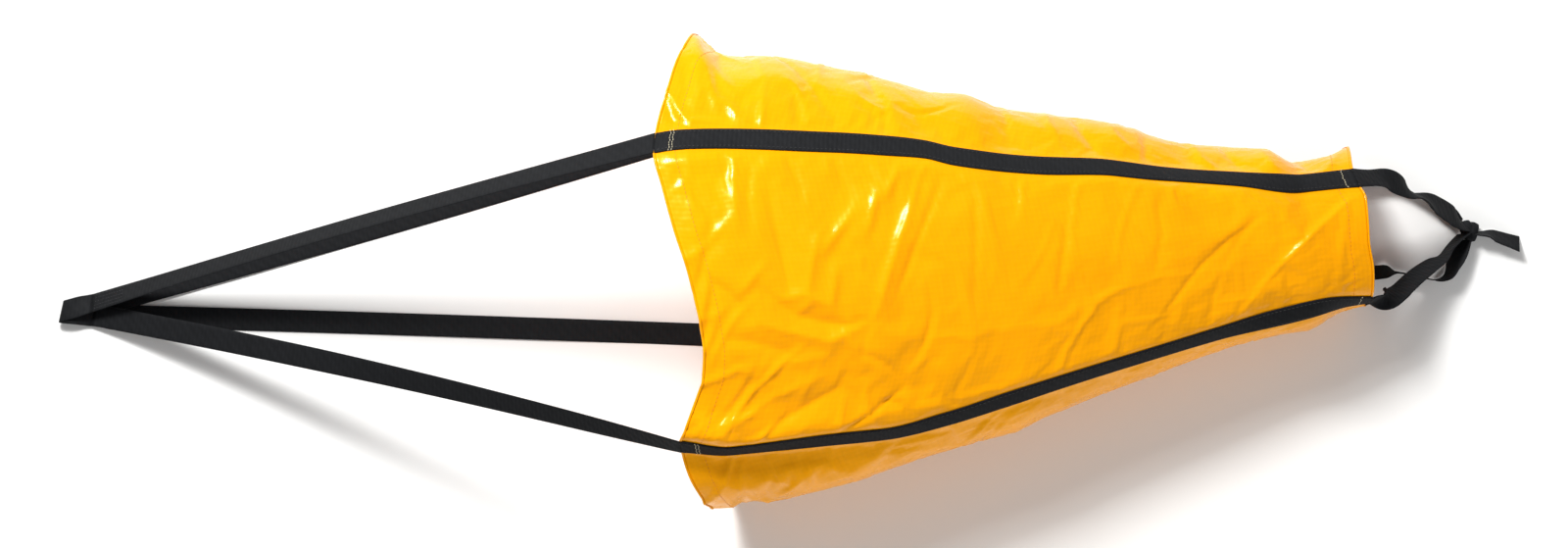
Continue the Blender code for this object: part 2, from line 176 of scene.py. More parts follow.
# Creases: kind, height and reach to either side in mm, then its line (x, y) seen from above
CREASES = (
    ("step", 5.0, 20, 7, ((0.142, 0.085), (0.124, 0.041), (0.102, -0.01), (0.082, -0.062))),
    ("ridge", 3.0, 10, 9, ((0.082, -0.062), (0.067, -0.068), (0.053, -0.073), (0.035, -0.083))),
    ("ridge", 2.5, 8, 8, ((0.052, -0.075), (0.059, -0.088), (0.064, -0.102))),
    ("valley", 3.5, 10, 8, ((-0.029, -0.026), (-0.002, -0.051), (0.029, -0.062),
                            (0.054, -0.067), (0.083, -0.063))),
    ("ridge", 3.0, 9, 8, ((-0.015, -0.035), (0.011, -0.032), (0.04, -0.046))),
    ("ridge", 3.0, 9, 9, ((-0.041, -0.058), (-0.007, -0.069), (0.033, -0.081), (0.057, -0.074))),
    ("valley", 4.5, 14, 12, ((-0.018, 0.082), (-0.013, 0.046), (-0.006, 0.008), (-0.001, -0.049))),
    ("ridge", 4.0, 12, 9, ((0.031, 0.032), (0.021, -0.002), (0.013, -0.038))),
    ("ridge", 3.0, 9, 7, ((0.045, -0.008), (0.042, -0.027), (0.038, -0.047))),
    ("ridge", 3.0, 10, 8, ((-0.051, 0.109), (-0.052, 0.079), (-0.052, 0.043))),
    ("valley", 2.5, 10, 8, ((-0.034, 0.105), (-0.039, 0.073), (-0.038, 0.036))),
    ("ridge", 2.5, 8, 7, ((-0.029, 0.001), (-0.043, -0.015), (-0.059, -0.03))),
    ("valley", 4.0, 13, 9, ((-0.072, -0.182), (-0.014, -0.157), (0.043, -0.13))),
    ("ridge", 3.5, 14, 10, ((-0.068, -0.161), (-0.027, -0.135), (0.023, -0.118))),
    ("ridge", 2.5, 10, 10, ((-0.077, -0.106), (-0.025, -0.102), (0.028, -0.098))),
    ("valley", 2.0, 9, 9, ((-0.078, -0.07), (-0.043, -0.078), (-0.002, -0.094))),
    ("step", 1.2, 12, 10, ((0.104, -0.085), (0.14, -0.086), (0.179, -0.089), (0.202, -0.084),
                           (0.233, -0.082), (0.275, -0.083))),
    ("ridge", 1.0, 10, 8, ((0.275, -0.083), (0.313, -0.068), (0.351, -0.048))),
    ("ridge", 1.5, 12, 8, ((0.284, -0.075), (0.327, -0.056), (0.39, -0.042),
                           (0.446, -0.043), (0.494, -0.045))),
    ("ridge", 1.3, 11, 8, ((0.344, -0.088), (0.405, -0.084), (0.438, -0.079), (0.493, -0.071))),
    ("step", 5.5, 16, 7, ((0.601, 0.022), (0.556, -0.009), (0.523, -0.037), (0.496, -0.063))),
    ("ridge", 2.0, 22, 18, ((0.172, -0.001), (0.179, -0.045), (0.183, -0.086))),
    ("valley", 1.6, 20, 20, ((0.126, 0.01), (0.118, -0.03), (0.107, -0.08))),
    ("ridge", 4.0, 13, 10, ((-0.083, 0.246), (-0.072, 0.203), (-0.063, 0.159))),
    ("valley", 2.5, 9, 9, ((-0.097, 0.225), (-0.095, 0.189), (-0.106, 0.16))),
    ("ridge", 2.6, 8, 7, ((-0.069, 0.215), (-0.059, 0.2), (-0.046, 0.183))),
    ("ridge", 2.6, 8, 7, ((0.006, 0.198), (0.019, 0.184), (0.027, 0.169))),
    ("ridge", 2.2, 7, 7, ((-0.05, 0.173), (-0.046, 0.16), (-0.044, 0.146))),
    ("ridge", 2.0, 10, 8, ((0.072, 0.187), (0.089, 0.167), (0.113, 0.148))),
    ("ridge", 2.0, 10, 9, ((0.136, 0.17), (0.16, 0.145), (0.195, 0.13))),
    ("ridge", 3.2, 7, 6, ((0.116, 0.085), (0.109, 0.073), (0.102, 0.06))),
    ("ridge", 3.6, 7, 6, ((0.095, 0.067), (0.088, 0.049), (0.082, 0.028))),
    ("ridge", 3.2, 8, 7, ((0.066, 0.047), (0.052, 0.031), (0.036, 0.012))),
    ("ridge", 2.2, 6, 6, ((0.069, 0.006), (0.072, -0.002), (0.073, -0.011))),
    ("ridge", 2.4, 7, 6, ((0.02, -0.039), (0.01, -0.046), (0.0, -0.054))),
    ("ridge", 2.2, 7, 6, ((0.01, -0.125), (0.003, -0.132), (-0.001, -0.141))),
    ("valley", 2.0, 8, 8, ((0.002, 0.114), (0.009, 0.098), (0.017, 0.079))),
    ("ridge", 1.8, 8, 7, ((-0.112, 0.046), (-0.106, 0.017), (-0.092, -0.006))),
    ("valley", 1.8, 8, 8, ((-0.101, 0.092), (-0.09, 0.077), (-0.079, 0.054))),
    ("ridge", 3.0, 8, 7, ((0.285, 0.142), (0.286, 0.129), (0.292, 0.116))),
    ("valley", 3.0, 9, 8, ((0.316, 0.137), (0.321, 0.118), (0.334, 0.097))),
    ("ridge", 3.0, 9, 8, ((0.352, 0.124), (0.358, 0.109), (0.371, 0.095))),
    ("valley", 2.8, 8, 7, ((0.389, 0.112), (0.389, 0.098), (0.387, 0.08))),
    ("ridge", 3.4, 9, 8, ((0.44, 0.096), (0.449, 0.079), (0.465, 0.062))),
    ("valley", 3.0, 9, 8, ((0.475, 0.091), (0.48, 0.079), (0.49, 0.065))),
    ("ridge", 3.0, 9, 8, ((0.516, 0.084), (0.52, 0.072), (0.526, 0.061))),
    ("valley", 3.0, 10, 10, ((0.558, 0.072), (0.563, 0.061), (0.575, 0.051))),
    ("ridge", 3.0, 10, 8, ((0.612, 0.079), (0.595, 0.067), (0.58, 0.055))),
    ("ridge", 1.6, 9, 8, ((0.249, 0.069), (0.247, 0.053), (0.244, 0.036))),
    ("ridge", 1.6, 8, 8, ((0.411, 0.056), (0.408, 0.048), (0.407, 0.039))),
    ("ridge", 1.1, 12, 10, ((0.203, 0.066), (0.21, 0.024), (0.215, -0.009))),
    ("valley", 0.9, 14, 12, ((0.39, 0.037), (0.392, 0.001), (0.383, -0.032))),
    ("ridge", 1.0, 10, 8, ((0.307, 0.059), (0.295, 0.018), (0.3, -0.015))),
    ("valley", 2.0, 11, 9, ((-0.094, -0.209), (-0.023, -0.209), (0.06, -0.204))),
    ("ridge", 1.8, 10, 9, ((0.081, -0.201), (0.166, -0.192), (0.252, -0.171))),
    ("ridge", 2.0, 9, 8, ((0.349, -0.142), (0.437, -0.124), (0.514, -0.107))),
    ("valley", 0.8, 9, 8, ((0.51, -0.071), (0.559, -0.059), (0.611, -0.039))),
    ("ridge", 0.8, 9, 8, ((0.56, -0.08), (0.587, -0.066), (0.618, -0.058))),
)


def through(points, at):
    """A smooth curve through (place, value) pairs that never overshoots between them."""
    xs, ys = np.array(points, float).T
    at = np.clip(at, xs[0], xs[-1])
    step = np.diff(xs)
    slope = np.diff(ys) / step
    rate = np.concatenate(([slope[0]], np.zeros(len(xs) - 2), [slope[-1]]))
    for i in range(1, len(xs) - 1):
        if slope[i - 1] * slope[i] > 0:
            rate[i] = 2 / (1 / slope[i - 1] + 1 / slope[i])
    i = np.clip(np.searchsorted(xs, at) - 1, 0, len(xs) - 2)
    u = (at - xs[i]) / step[i]
    return (ys[i] * (1 + 2 * u) * (1 - u) ** 2 + rate[i] * step[i] * u * (1 - u) ** 2
            + ys[i + 1] * u * u * (3 - 2 * u) - rate[i + 1] * step[i] * u * u * (1 - u))


def ease(share):
    share = np.clip(share, 0.0, 1.0)
    return share * share * (3 - 2 * share)


def unit(vectors):
    return vectors / np.maximum(np.linalg.norm(vectors, axis=-1, keepdims=True), 1e-12)


def webbing_turns(x):
    """Angles of the four webbings round the cone at x, and the first once more, plus 360."""
    left, right = through(LEFT_EDGE, x), through(RIGHT_EDGE, x)
    middle, half = (left + right) / 2, (left - right) / 2
    upper_left = np.degrees(np.arcsin((through(UPPER_LEFT_LINE, x) - middle) / half))
    upper_right = np.degrees(np.arcsin((through(UPPER_RIGHT_LINE, x) - middle) / half))
    share = np.clip((x - MOUTH_X) / (TAIL_X - MOUTH_X), 0, 1)
    lower_left = LOWER_LEFT_TURN[0] + (LOWER_LEFT_TURN[1] - LOWER_LEFT_TURN[0]) * share
    lower_right = LOWER_RIGHT_TURN[0] + (LOWER_RIGHT_TURN[1] - LOWER_RIGHT_TURN[0]) * share
    return upper_left, lower_left, lower_right, upper_right + 360, upper_left + 360


def plain_skin(rows, gore_columns):
    """The cone without creases: points [row, column], rows from mouth to tail, columns round
    from the upper left webbing to the left, with the same number for each gore."""
    u = np.linspace(0, 1, rows)[:, None]
    place = np.arange(4 * gore_columns)[None, :] / gore_columns
    gore = place.astype(int)
    share = place - gore
    x = MOUTH_X + (TAIL_X - MOUTH_X) * u + 0 * place
    for _ in range(5):
        turns = np.stack(webbing_turns(x))
        start = np.take_along_axis(turns, np.broadcast_to(gore, x.shape)[None], 0)[0]
        end = np.take_along_axis(turns, np.broadcast_to(gore + 1, x.shape)[None], 0)[0]
        angle = start + (end - start) * share
        round_angle = np.where(angle > 250, angle - 360, angle)
        front = through(MOUTH_EDGE, round_angle)
        x = front + (through(TAIL_EDGE, round_angle) - front) * u
    left, right = through(LEFT_EDGE, x), through(RIGHT_EDGE, x)
    turn = np.radians(angle)
    side, up = np.sin(turn), np.cos(turn)
    corner = np.exp(-((np.abs(side) - 1) / 0.16) ** 2)
    top = MOUTH_TOP + (TAIL_TOP - MOUTH_TOP) * np.clip((x - MOUTH_X) / (TAIL_X - MOUTH_X), 0, 1)
    half = (top - LIFT) / 2
    y = (left + right) / 2 + (left - right) / 2 * side
    y = y + corner * np.where(side > 0, through(LEFT_EAR, x), through(RIGHT_EAR, x))
    z = np.where(up >= 0, LIFT + half * (1 + up),
                 LIFT + half * (1 - np.minimum(1, -up / BELLY)) ** 2)
    return np.stack((x, y, z), -1), angle


def outward(points):
    """Unit normals of a ring of points [row, column]."""
    along = np.gradient(points, axis=0)
    around = np.roll(points, -1, 1) - np.roll(points, 1, 1)
    return unit(np.cross(along, around))


def webbing_distance(points, gore_columns):
    """Rough distance round the fabric from each point to the nearest webbing's middle."""
    girth = np.linalg.norm(np.roll(points, -1, 1) - points, axis=-1)
    column = np.arange(points.shape[1])
    nearest = np.abs((column + gore_columns / 2) % gore_columns - gore_columns / 2)
    return girth * nearest[None, :]


def line_fold(px, py, line):
    """Signed distance of points to a bent line, and the share of its length at the nearest."""
    line = np.array(line)
    lengths = np.linalg.norm(np.diff(line, axis=0), axis=1)
    total = lengths.sum()
    best = np.full(px.shape, 1e9)
    signed = np.zeros(px.shape)
    share = np.zeros(px.shape)
    before = 0.0
    for a, b, length in zip(line, line[1:], lengths):
        way = (b - a) / length
        reach = np.clip((px - a[0]) * way[0] + (py - a[1]) * way[1], 0, length)
        dx, dy = px - a[0] - way[0] * reach, py - a[1] - way[1] * reach
        distance = np.hypot(dx, dy)
        closer = distance < best
        best = np.where(closer, distance, best)
        signed = np.where(closer, np.copysign(distance, way[0] * dy - way[1] * dx), signed)
        share = np.where(closer, (before + reach) / total, share)
        before += length
    return signed, share


def seam_tilt(points, gore_columns):
    """How far the fabric rises on the upper side of the two upper webbings and sinks on the
    other, so that each webbing lies on a steep flank, in metres."""
    girth = np.linalg.norm(np.roll(points, -1, 1) - points, axis=-1)
    columns = points.shape[1]
    lift = np.zeros(points.shape[:2])
    for line, tilt, way in ((0, UPPER_LEFT_TILT, -1), (3, UPPER_RIGHT_TILT, 1)):
        away = np.arange(columns) - line * gore_columns
        away = (away + columns / 2) % columns - columns / 2
        reach = girth * away[None, :] / SEAM_HALF
        beyond = np.maximum(np.abs(reach) - 1, 0) / 1.7
        steep = np.tan(np.radians(through(tilt, points[..., 0])))
        lift += way * SEAM_HALF * steep * reach * np.exp(-beyond ** 1.6)
    return lift


def seamed_skin(rows, gore_columns):
    """The cone with its two upper seams on their steep flanks."""
    points, angle = plain_skin(rows, gore_columns)
    lift = seam_tilt(points, gore_columns)
    return points + outward(points) * lift[..., None], angle


def crease_heights(points, angle):
    """How far the creases lift the fabric, in metres, for the half that faces up."""
    px, py = points[..., 0], points[..., 1]
    upper = ease((np.cos(np.radians(angle)) + 0.05) / 0.25)
    lift = np.zeros(px.shape)
    for kind, height, wide, other, line in CREASES:
        signed, share = line_fold(px, py, line)
        reach = np.where(signed > 0, other, wide) / 1000
        if kind == "step":
            reach = np.where(signed > 0, wide, other) / 1000
        fall = np.exp(-(np.abs(signed) / reach) ** 1.15)
        ends = np.sin(np.pi * np.clip(share * 0.86 + 0.07, 0, 1)) ** 0.6
        lift += (-1 if kind == "valley" else 1) * height / 1000 * fall * ends * upper
    return lift


CRUMPLE_SEED, CRUMPLE_COUNT = 11, 260
CRUMPLE_LENGTH = (0.018, 0.055)
CRUMPLE_HEIGHT = (0.0012, 0.0034)
CRUMPLE_REACH = (0.003, 0.0065)
CRUMPLE_BOW = 0.25


def small_crumples(points):
    """Short shallow creases scattered over the fabric, denser towards the mouth."""
    dice = np.random.default_rng(CRUMPLE_SEED)
    rows, columns = points.shape[:2]
    along = points[..., 0]
    step = np.linalg.norm(np.roll(points, -1, 1) - points, axis=-1)
    around = np.cumsum(step, axis=1)
    around = around - around[:, columns // 2][:, None]
    lift = np.zeros((rows, columns))
    for _ in range(CRUMPLE_COUNT):
        x = -0.11 + 0.73 * dice.random() ** 2.2
        wide = np.interp(x, (-0.1, 0.62), (0.64, 0.22))
        y = (dice.random() * 2 - 1) * wide
        turn = dice.normal(1.35, 0.7)
        long = dice.uniform(*CRUMPLE_LENGTH)
        height = dice.uniform(*CRUMPLE_HEIGHT) * dice.choice((-1, 1))
        height *= np.interp(x, (0.10, 0.24), (1.0, 0.22))
        reach = dice.uniform(*CRUMPLE_REACH)
        bow = dice.uniform(-CRUMPLE_BOW, CRUMPLE_BOW)
        dx, dy = along - x, around - y
        s = dx * math.cos(turn) + dy * math.sin(turn)
        d = -dx * math.sin(turn) + dy * math.cos(turn) + bow * s * s / long
        lift += height * np.exp(-np.abs(d) / reach) * np.exp(-(s / long) ** 4)
    return lift


def refined(points, rows, columns):
    """Cubic upsampling of a ring of values [row, column, axis] to more rows and columns."""
    def cubic(values, places, closed):
        count = len(values)
        i = np.floor(places).astype(int)
        i = i if closed else np.minimum(i, count - 2)
        f = (places - i)[:, None, None]
        pick = (lambda k: values[k % count]) if closed else (
            lambda k: values[np.clip(k, 0, count - 1)])
        a, b, c, d = pick(i - 1), pick(i), pick(i + 1), pick(i + 2)
        return 0.5 * (2 * b + (c - a) * f + (2 * a - 5 * b + 4 * c - d) * f ** 2
                      + (3 * b - a - 3 * c + d) * f ** 3)
    more = cubic(points, np.linspace(0, len(points) - 1, rows), False)
    width = points.shape[1]
    turned = np.swapaxes(more, 0, 1)
    return np.swapaxes(cubic(turned, np.arange(columns) * width / columns, True), 0, 1)


SIM_ROWS, SIM_GORE = 144, 60
ROWS, GORE = 241, 108
CAP = 0.011                 # the most that the simulation may move a point
CLOTH_STEPS = 26
CLOTH = {
    "quality": 5, "mass": 0.15, "tension_stiffness": 25, "compression_stiffness": 25,
    "shear_stiffness": 12, "bending_stiffness": 0.12, "tension_damping": 12,
    "compression_damping": 12, "bending_damping": 1.0, "air_damping": 3.0,
    "shrink_min": -0.008, "shrink_max": -0.10, "vertex_group_shrink": "slack",
    "vertex_group_mass": "hold", "pin_stiffness": 1.0,
}


def grid_faces(rows, columns, ring=False, first=0):
    """Quads of a grid of points, row by row, that face along x across."""
    spans = columns if ring else columns - 1
    r, c = np.meshgrid(np.arange(rows - 1), np.arange(spans), indexing="ij")
    n = (c + 1) % columns
    quads = np.stack((r * columns + c, (r + 1) * columns + c,
                      (r + 1) * columns + n, r * columns + n), -1)
    return quads.reshape(-1, 4) + first


def quad_mesh(name, points, quads):
    mesh = bpy.data.meshes.new(name)
    mesh.vertices.add(len(points))
    mesh.vertices.foreach_set("co", np.asarray(points, np.float32).ravel())
    mesh.loops.add(quads.size)
    mesh.loops.foreach_set("vertex_index", quads.ravel().astype(np.int32))
    mesh.polygons.add(len(quads))
    mesh.polygons.foreach_set("loop_start", np.arange(0, quads.size, 4, dtype=np.int32))
    mesh.update(calc_edges=True)
    mesh.validate()
    return mesh


def slack_of_cloth(points, hold, slack):
    """Where loose fabric buckles to: a cloth simulation of the ring of points, with more cloth
    than room. hold is how firmly each point keeps its place, and slack from 0 to 1 how much
    spare cloth there is. Returns the moves."""
    rows, columns = points.shape[:2]
    flat = points.reshape(-1, 3)
    cloth = bpy.data.objects.new("cloth", quad_mesh("cloth", flat,
                                                    grid_faces(rows, columns, True)))
    bpy.context.collection.objects.link(cloth)
    for name, weights in (("hold", hold), ("slack", slack)):
        group = cloth.vertex_groups.new(name=name)
        levels = np.round(weights.ravel() * 40) / 40
        for level in np.unique(levels):
            group.add(np.flatnonzero(levels == level).tolist(), float(level), "REPLACE")
    modifier = cloth.modifiers.new("cloth", "CLOTH")
    for name, value in CLOTH.items():
        setattr(modifier.settings, name, value)
    modifier.settings.effector_weights.gravity = 0.0
    modifier.collision_settings.use_collision = False
    scene = bpy.context.scene
    modifier.point_cache.frame_start, modifier.point_cache.frame_end = 1, CLOTH_STEPS
    for step in range(1, CLOTH_STEPS + 1):
        scene.frame_set(step)
    shape = cloth.evaluated_get(bpy.context.evaluated_depsgraph_get()).to_mesh()
    after = np.empty(len(flat) * 3, np.float32)
    shape.vertices.foreach_get("co", after)
    moved = after.reshape(points.shape) - points
    scene.frame_set(1)
    mesh = cloth.data
    bpy.data.objects.remove(cloth)
    bpy.data.meshes.remove(mesh)
    length = np.linalg.norm(moved, axis=-1, keepdims=True)
    return moved * CAP / np.maximum(length, 1e-9) * np.tanh(length / CAP)


# Distances in metres where the fabric starts to be free, and over which it comes free: from a
# webbing's middle and from the floor, for creases and for the simulation
CREASE_OFF_WEBBING, CREASE_OFF_FLOOR = (0.011, 0.014), (0.004, 0.02)
CLOTH_OFF_WEBBING, CLOTH_OFF_FLOOR = (0.009, 0.010), (0.003, 0.02)
# Rows of the simulation that its open edges hold, and how firmly; the same for the flanks
RIM_ROWS, RIM_HOLD, FLANK_HOLD = 4, 0.75, 0.25
SPARE_CLOTH = ((-0.13, 1.0), (0.10, 0.8), (0.20, 0.32), (0.34, 0.16), (0.62, 0.22))


def beyond(values, span):
    return ease((values - span[0]) / span[1])


def creased_skin(rows, gore_columns):
    """The cone before and after its creases, its angles, each point's distance from a webbing
    and how free it is to move."""
    points, angle = seamed_skin(rows, gore_columns)
    off_webbing = webbing_distance(points, gore_columns)
    clear = beyond(off_webbing, CREASE_OFF_WEBBING)
    upward = beyond(points[..., 2], CREASE_OFF_FLOOR)
    lift = crease_heights(points, angle) + small_crumples(points)
    creased = points + outward(points) * (lift * clear * upward)[..., None]
    return points, creased, angle, off_webbing, clear * upward


def buckling():
    """The moves of a simulation of the cone's spare cloth, on its coarser grid."""
    plain, start, angle, off_webbing, _ = creased_skin(SIM_ROWS, SIM_GORE)
    x, y, z = np.moveaxis(plain, -1, 0)
    hold = 0.02 + 0.98 * (1 - beyond(off_webbing, CLOTH_OFF_WEBBING))
    hold = np.maximum(hold, 1 - beyond(z, CLOTH_OFF_FLOOR))
    rim = np.minimum(np.arange(SIM_ROWS), np.arange(SIM_ROWS)[::-1])[:, None]
    hold = np.maximum(hold, RIM_HOLD * (1 - ease(rim / RIM_ROWS)))
    side = np.abs(np.sin(np.radians(angle)))
    hold = np.maximum(hold, FLANK_HOLD * ease((side - 0.93) / 0.07))
    slack = np.interp(x, *zip(*SPARE_CLOTH))
    # The fabric is drawn smooth beside the upper right webbing
    from_seam = np.abs(y - through(UPPER_RIGHT_LINE, x))
    slack = slack * (0.35 + 0.65 * beyond(from_seam, (0.02, 0.05)))
    moves = slack_of_cloth(start, np.clip(hold, 0, 1), slack)
    moves = (np.roll(moves, 1, 1) + 6 * moves + np.roll(moves, -1, 1)) / 8
    return moves * np.interp(x, (0.08, 0.25), (1.3, 1.0))[..., None]


@functools.lru_cache(maxsize=1)
def skin():
    """The outer face of the cone's fabric as it lies creased: points, normals and angles."""
    _, points, angle, _, free = creased_skin(ROWS, GORE)
    points = points + refined(buckling(), ROWS, 4 * GORE) * free[..., None]
    points[..., 2] = np.maximum(points[..., 2], LIFT)
    return points, outward(points), angle


# ---- closed bodies from grids ----------------------------------------------------------------

def slab(name, top, bottom, measure, ring=False):
    """A closed body between two grids [row, column, axis]. measure [row, column, 2] gives its
    flat size in metres for the weave. A ring closes on itself."""
    rows, columns = top.shape[:2]
    count = rows * columns
    above = grid_faces(rows, columns, ring)
    below = grid_faces(rows, columns, ring, count)[:, ::-1]
    spans = np.arange(columns if ring else columns - 1)
    following = (spans + 1) % columns
    last = (rows - 1) * columns
    ends = [np.stack((spans, following, following + count, spans + count), -1),
            np.stack((last + following, last + spans, last + spans + count,
                      last + following + count), -1)]
    if not ring:
        steps = np.arange(rows - 1) * columns
        ends += [np.stack((steps + columns, steps, steps + count, steps + columns + count), -1),
                 np.stack((steps, steps + columns, steps + columns + count, steps + count), -1)
                 + columns - 1]
    quads = np.concatenate([above, below] + ends)
    mesh = quad_mesh(name, np.concatenate((top.reshape(-1, 3), bottom.reshape(-1, 3))), quads)
    layer = mesh.uv_layers.new(name="Cut")
    flat = np.concatenate((measure.reshape(-1, 2), measure.reshape(-1, 2)))
    layer.data.foreach_set("uv", flat[quads.ravel()].astype(np.float32).ravel())
    return mesh


EDGE_ROUND = 0.45           # half height of a webbing's selvedge, of half its thickness


def webbing_body(name, middle, normal, thickness):
    """A closed webbing from its middle surface [row, column] and normals. The two outer
    columns are its selvedges."""
    half = thickness / 2
    inner = slice(1, -1)
    upper = middle[:, inner] + normal[:, inner] * half
    lower = (middle[:, inner] - normal[:, inner] * half)[:, ::-1]
    right = middle[:, -1:] + normal[:, -1:] * half * np.array((EDGE_ROUND, -EDGE_ROUND))[:, None]
    left = middle[:, :1] + normal[:, :1] * half * np.array((-EDGE_ROUND, EDGE_ROUND))[:, None]
    ring = np.concatenate((upper, right, lower, left), axis=1)
    rows, columns = ring.shape[:2]
    side = np.cumsum(np.linalg.norm(np.diff(middle, axis=1), axis=-1).mean(0))
    side = np.concatenate(([0.0], side))
    across = np.concatenate((side[inner], [side[-1]] * 2, side[inner][::-1], [0.0] * 2))
    along = np.linalg.norm(np.diff(middle.mean(1), axis=0), axis=-1)
    along = np.concatenate(([0.0], np.cumsum(along)))
    mesh = quad_mesh(name, ring.reshape(-1, 3), grid_faces(rows, columns, True))
    body = bmesh.new()
    body.from_mesh(mesh)
    body.verts.ensure_lookup_table()
    count = middle.shape[1] - 2
    for first, turn in ((0, 1), ((rows - 1) * columns, -1)):
        corners = [body.verts[first + i] for i in range(columns)]
        strips = [(corners[i], corners[i + 1], corners[2 * count - i],
                   corners[2 * count + 1 - i]) for i in range(count - 1)]
        strips += [(corners[count - 1], corners[count], corners[count + 1], corners[count + 2]),
                   (corners[-1], corners[0], corners[2 * count + 1], corners[-2])]
        for strip in strips:
            body.faces.new(strip[::turn])
    bmesh.ops.recalc_face_normals(body, faces=body.faces)
    layer = body.loops.layers.uv.new("Cut")
    body.verts.index_update()
    for face in body.faces:
        for loop in face.loops:
            row, column = divmod(loop.vert.index, columns)
            loop[layer].uv = (across[column], along[row])
    body.to_mesh(mesh)
    body.free()
    return mesh


def finished_piece(name, mesh, material, smooth=True):
    """An object at the origin, smooth shaded, with its material."""
    mesh.materials.append(material)
    if smooth:
        mesh.polygons.foreach_set("use_smooth", [True] * len(mesh.polygons))
    piece = bpy.data.objects.new(name, mesh)
    bpy.context.collection.objects.link(piece)
    return piece


# ---- materials -------------------------------------------------------------------------------

def add_node(tree, kind, at, settings=(), **inputs):
    """Adds a node, sets its properties and inputs, and links the inputs given as sockets."""
    node = tree.nodes.new(kind)
    node.location = at
    for name, value in dict(settings).items():
        setattr(node, name, value)
    for key, value in inputs.items():
        socket = node.inputs[int(key[1:]) if key[1:].isdigit() else key.replace("_", " ")]
        if isinstance(value, bpy.types.NodeSocket):
            tree.links.new(value, socket)
        else:
            socket.default_value = value
    return node


def new_material(name):
    material = bpy.data.materials.new(name)
    material.use_nodes = True
    material.node_tree.nodes.clear()
    return material, material.node_tree


def add_bands(tree, at, direction, place, spacing, **more):
    """Light and dark bands, spacing metres apart."""
    return add_node(tree, "ShaderNodeTexWave", at,
                    {"wave_type": "BANDS", "bands_direction": direction},
                    Vector=place, Scale=1 / spacing / 20 * math.pi, **more).outputs["Fac"]


def add_noise(tree, at, place, scale, **more):
    return add_node(tree, "ShaderNodeTexNoise", at, (), Vector=place, Scale=scale,
                    **more).outputs["Fac"]


def add_range(tree, at, value, low, high, start=0.0, end=1.0):
    """The value's span from start to end, turned into one from low to high."""
    return add_node(tree, "ShaderNodeMapRange", at, (), Value=value, From_Min=start,
                    From_Max=end, To_Min=low, To_Max=high).outputs["Result"]


def add_math(tree, at, operation, first, second):
    return add_node(tree, "ShaderNodeMath", at, {"operation": operation},
                    _0=first, _1=second).outputs["Value"]


def add_shade(tree, at, colour, factor):
    return add_node(tree, "ShaderNodeVectorMath", at, {"operation": "SCALE"},
                    _0=tuple(colour), Scale=factor).outputs["Vector"]


def add_bump(tree, at, height, strength, distance, **more):
    return add_node(tree, "ShaderNodeBump", at, (), Height=height, Strength=strength,
                    Distance=distance, **more).outputs["Normal"]


def add_surface(tree, at, **inputs):
    """The shader, with the material's output beside it."""
    shader = add_node(tree, "ShaderNodeBsdfPrincipled", at, (), **inputs)
    add_node(tree, "ShaderNodeOutputMaterial", (at[0] + 300, at[1]), (),
             Surface=shader.outputs["BSDF"])


def add_places(tree):
    """Distances along the piece as cut, and places on the object."""
    cut = add_node(tree, "ShaderNodeUVMap", (-1400, 0), {"uv_map": "Cut"})
    place = add_node(tree, "ShaderNodeTexCoord", (-1400, -300))
    return cut.outputs["UV"], place.outputs["Object"]


def pvc_coated_polyester():
    """Polyester scrim cloth dipped in soft PVC, flame yellow: a smooth wet-looking gloss with
    sharp glints on its creases, over the faint grid of the scrim, which shows through."""
    material, tree = new_material("pvc_coated_polyester")
    cut, place = add_places(tree)
    # The scrim's threads are 1.4 mm apart; drawn 3 mm apart, so that they show.
    warp, weft = (add_bands(tree, (-1150, height), way, cut, 0.003, Distortion=0.6,
                            Detail=1.0, Detail_Scale=1.5)
                  for way, height in (("X", 150), ("Y", -100)))
    scrim = add_math(tree, (-900, 50), "ADD", warp, weft)
    # Soft unevenness of the dipped coating, about 25 mm across
    pool = add_noise(tree, (-1150, -350), place, 40.0, Detail=3.0, Roughness=0.5)
    # Slow drift of tone where the coating is handled and folded, about 150 mm across
    drift = add_noise(tree, (-1150, -600), place, 7.0, Detail=4.0, Roughness=0.6)
    tone = add_range(tree, (-900, -600), drift, 0.93, 1.05, 0.3, 0.7)
    thread_tone = add_range(tree, (-700, 50), scrim, 0.975, 1.02, 0.0, 2.0)
    both = add_math(tree, (-500, -100), "MULTIPLY", tone, thread_tone)
    base = add_shade(tree, (-300, 0), bpy.context.scene.sea_anchor_fabric.colour, both)
    gloss = add_range(tree, (-500, -350), pool, 0.22, 0.34, 0.3, 0.7)
    grain = add_bump(tree, (-300, -250), scrim, 0.10, 0.0006)
    ripple = add_bump(tree, (-100, -350), pool, 0.35, 0.0015, Normal=grain)
    add_surface(tree, (150, 0), Base_Color=base, Roughness=gloss, IOR=1.53,
                Specular_IOR_Level=0.22, Specular_Tint=(1.0, 0.74, 0.12, 1.0),
                Coat_Weight=0.22, Coat_Roughness=0.12, Normal=ripple)
    return material


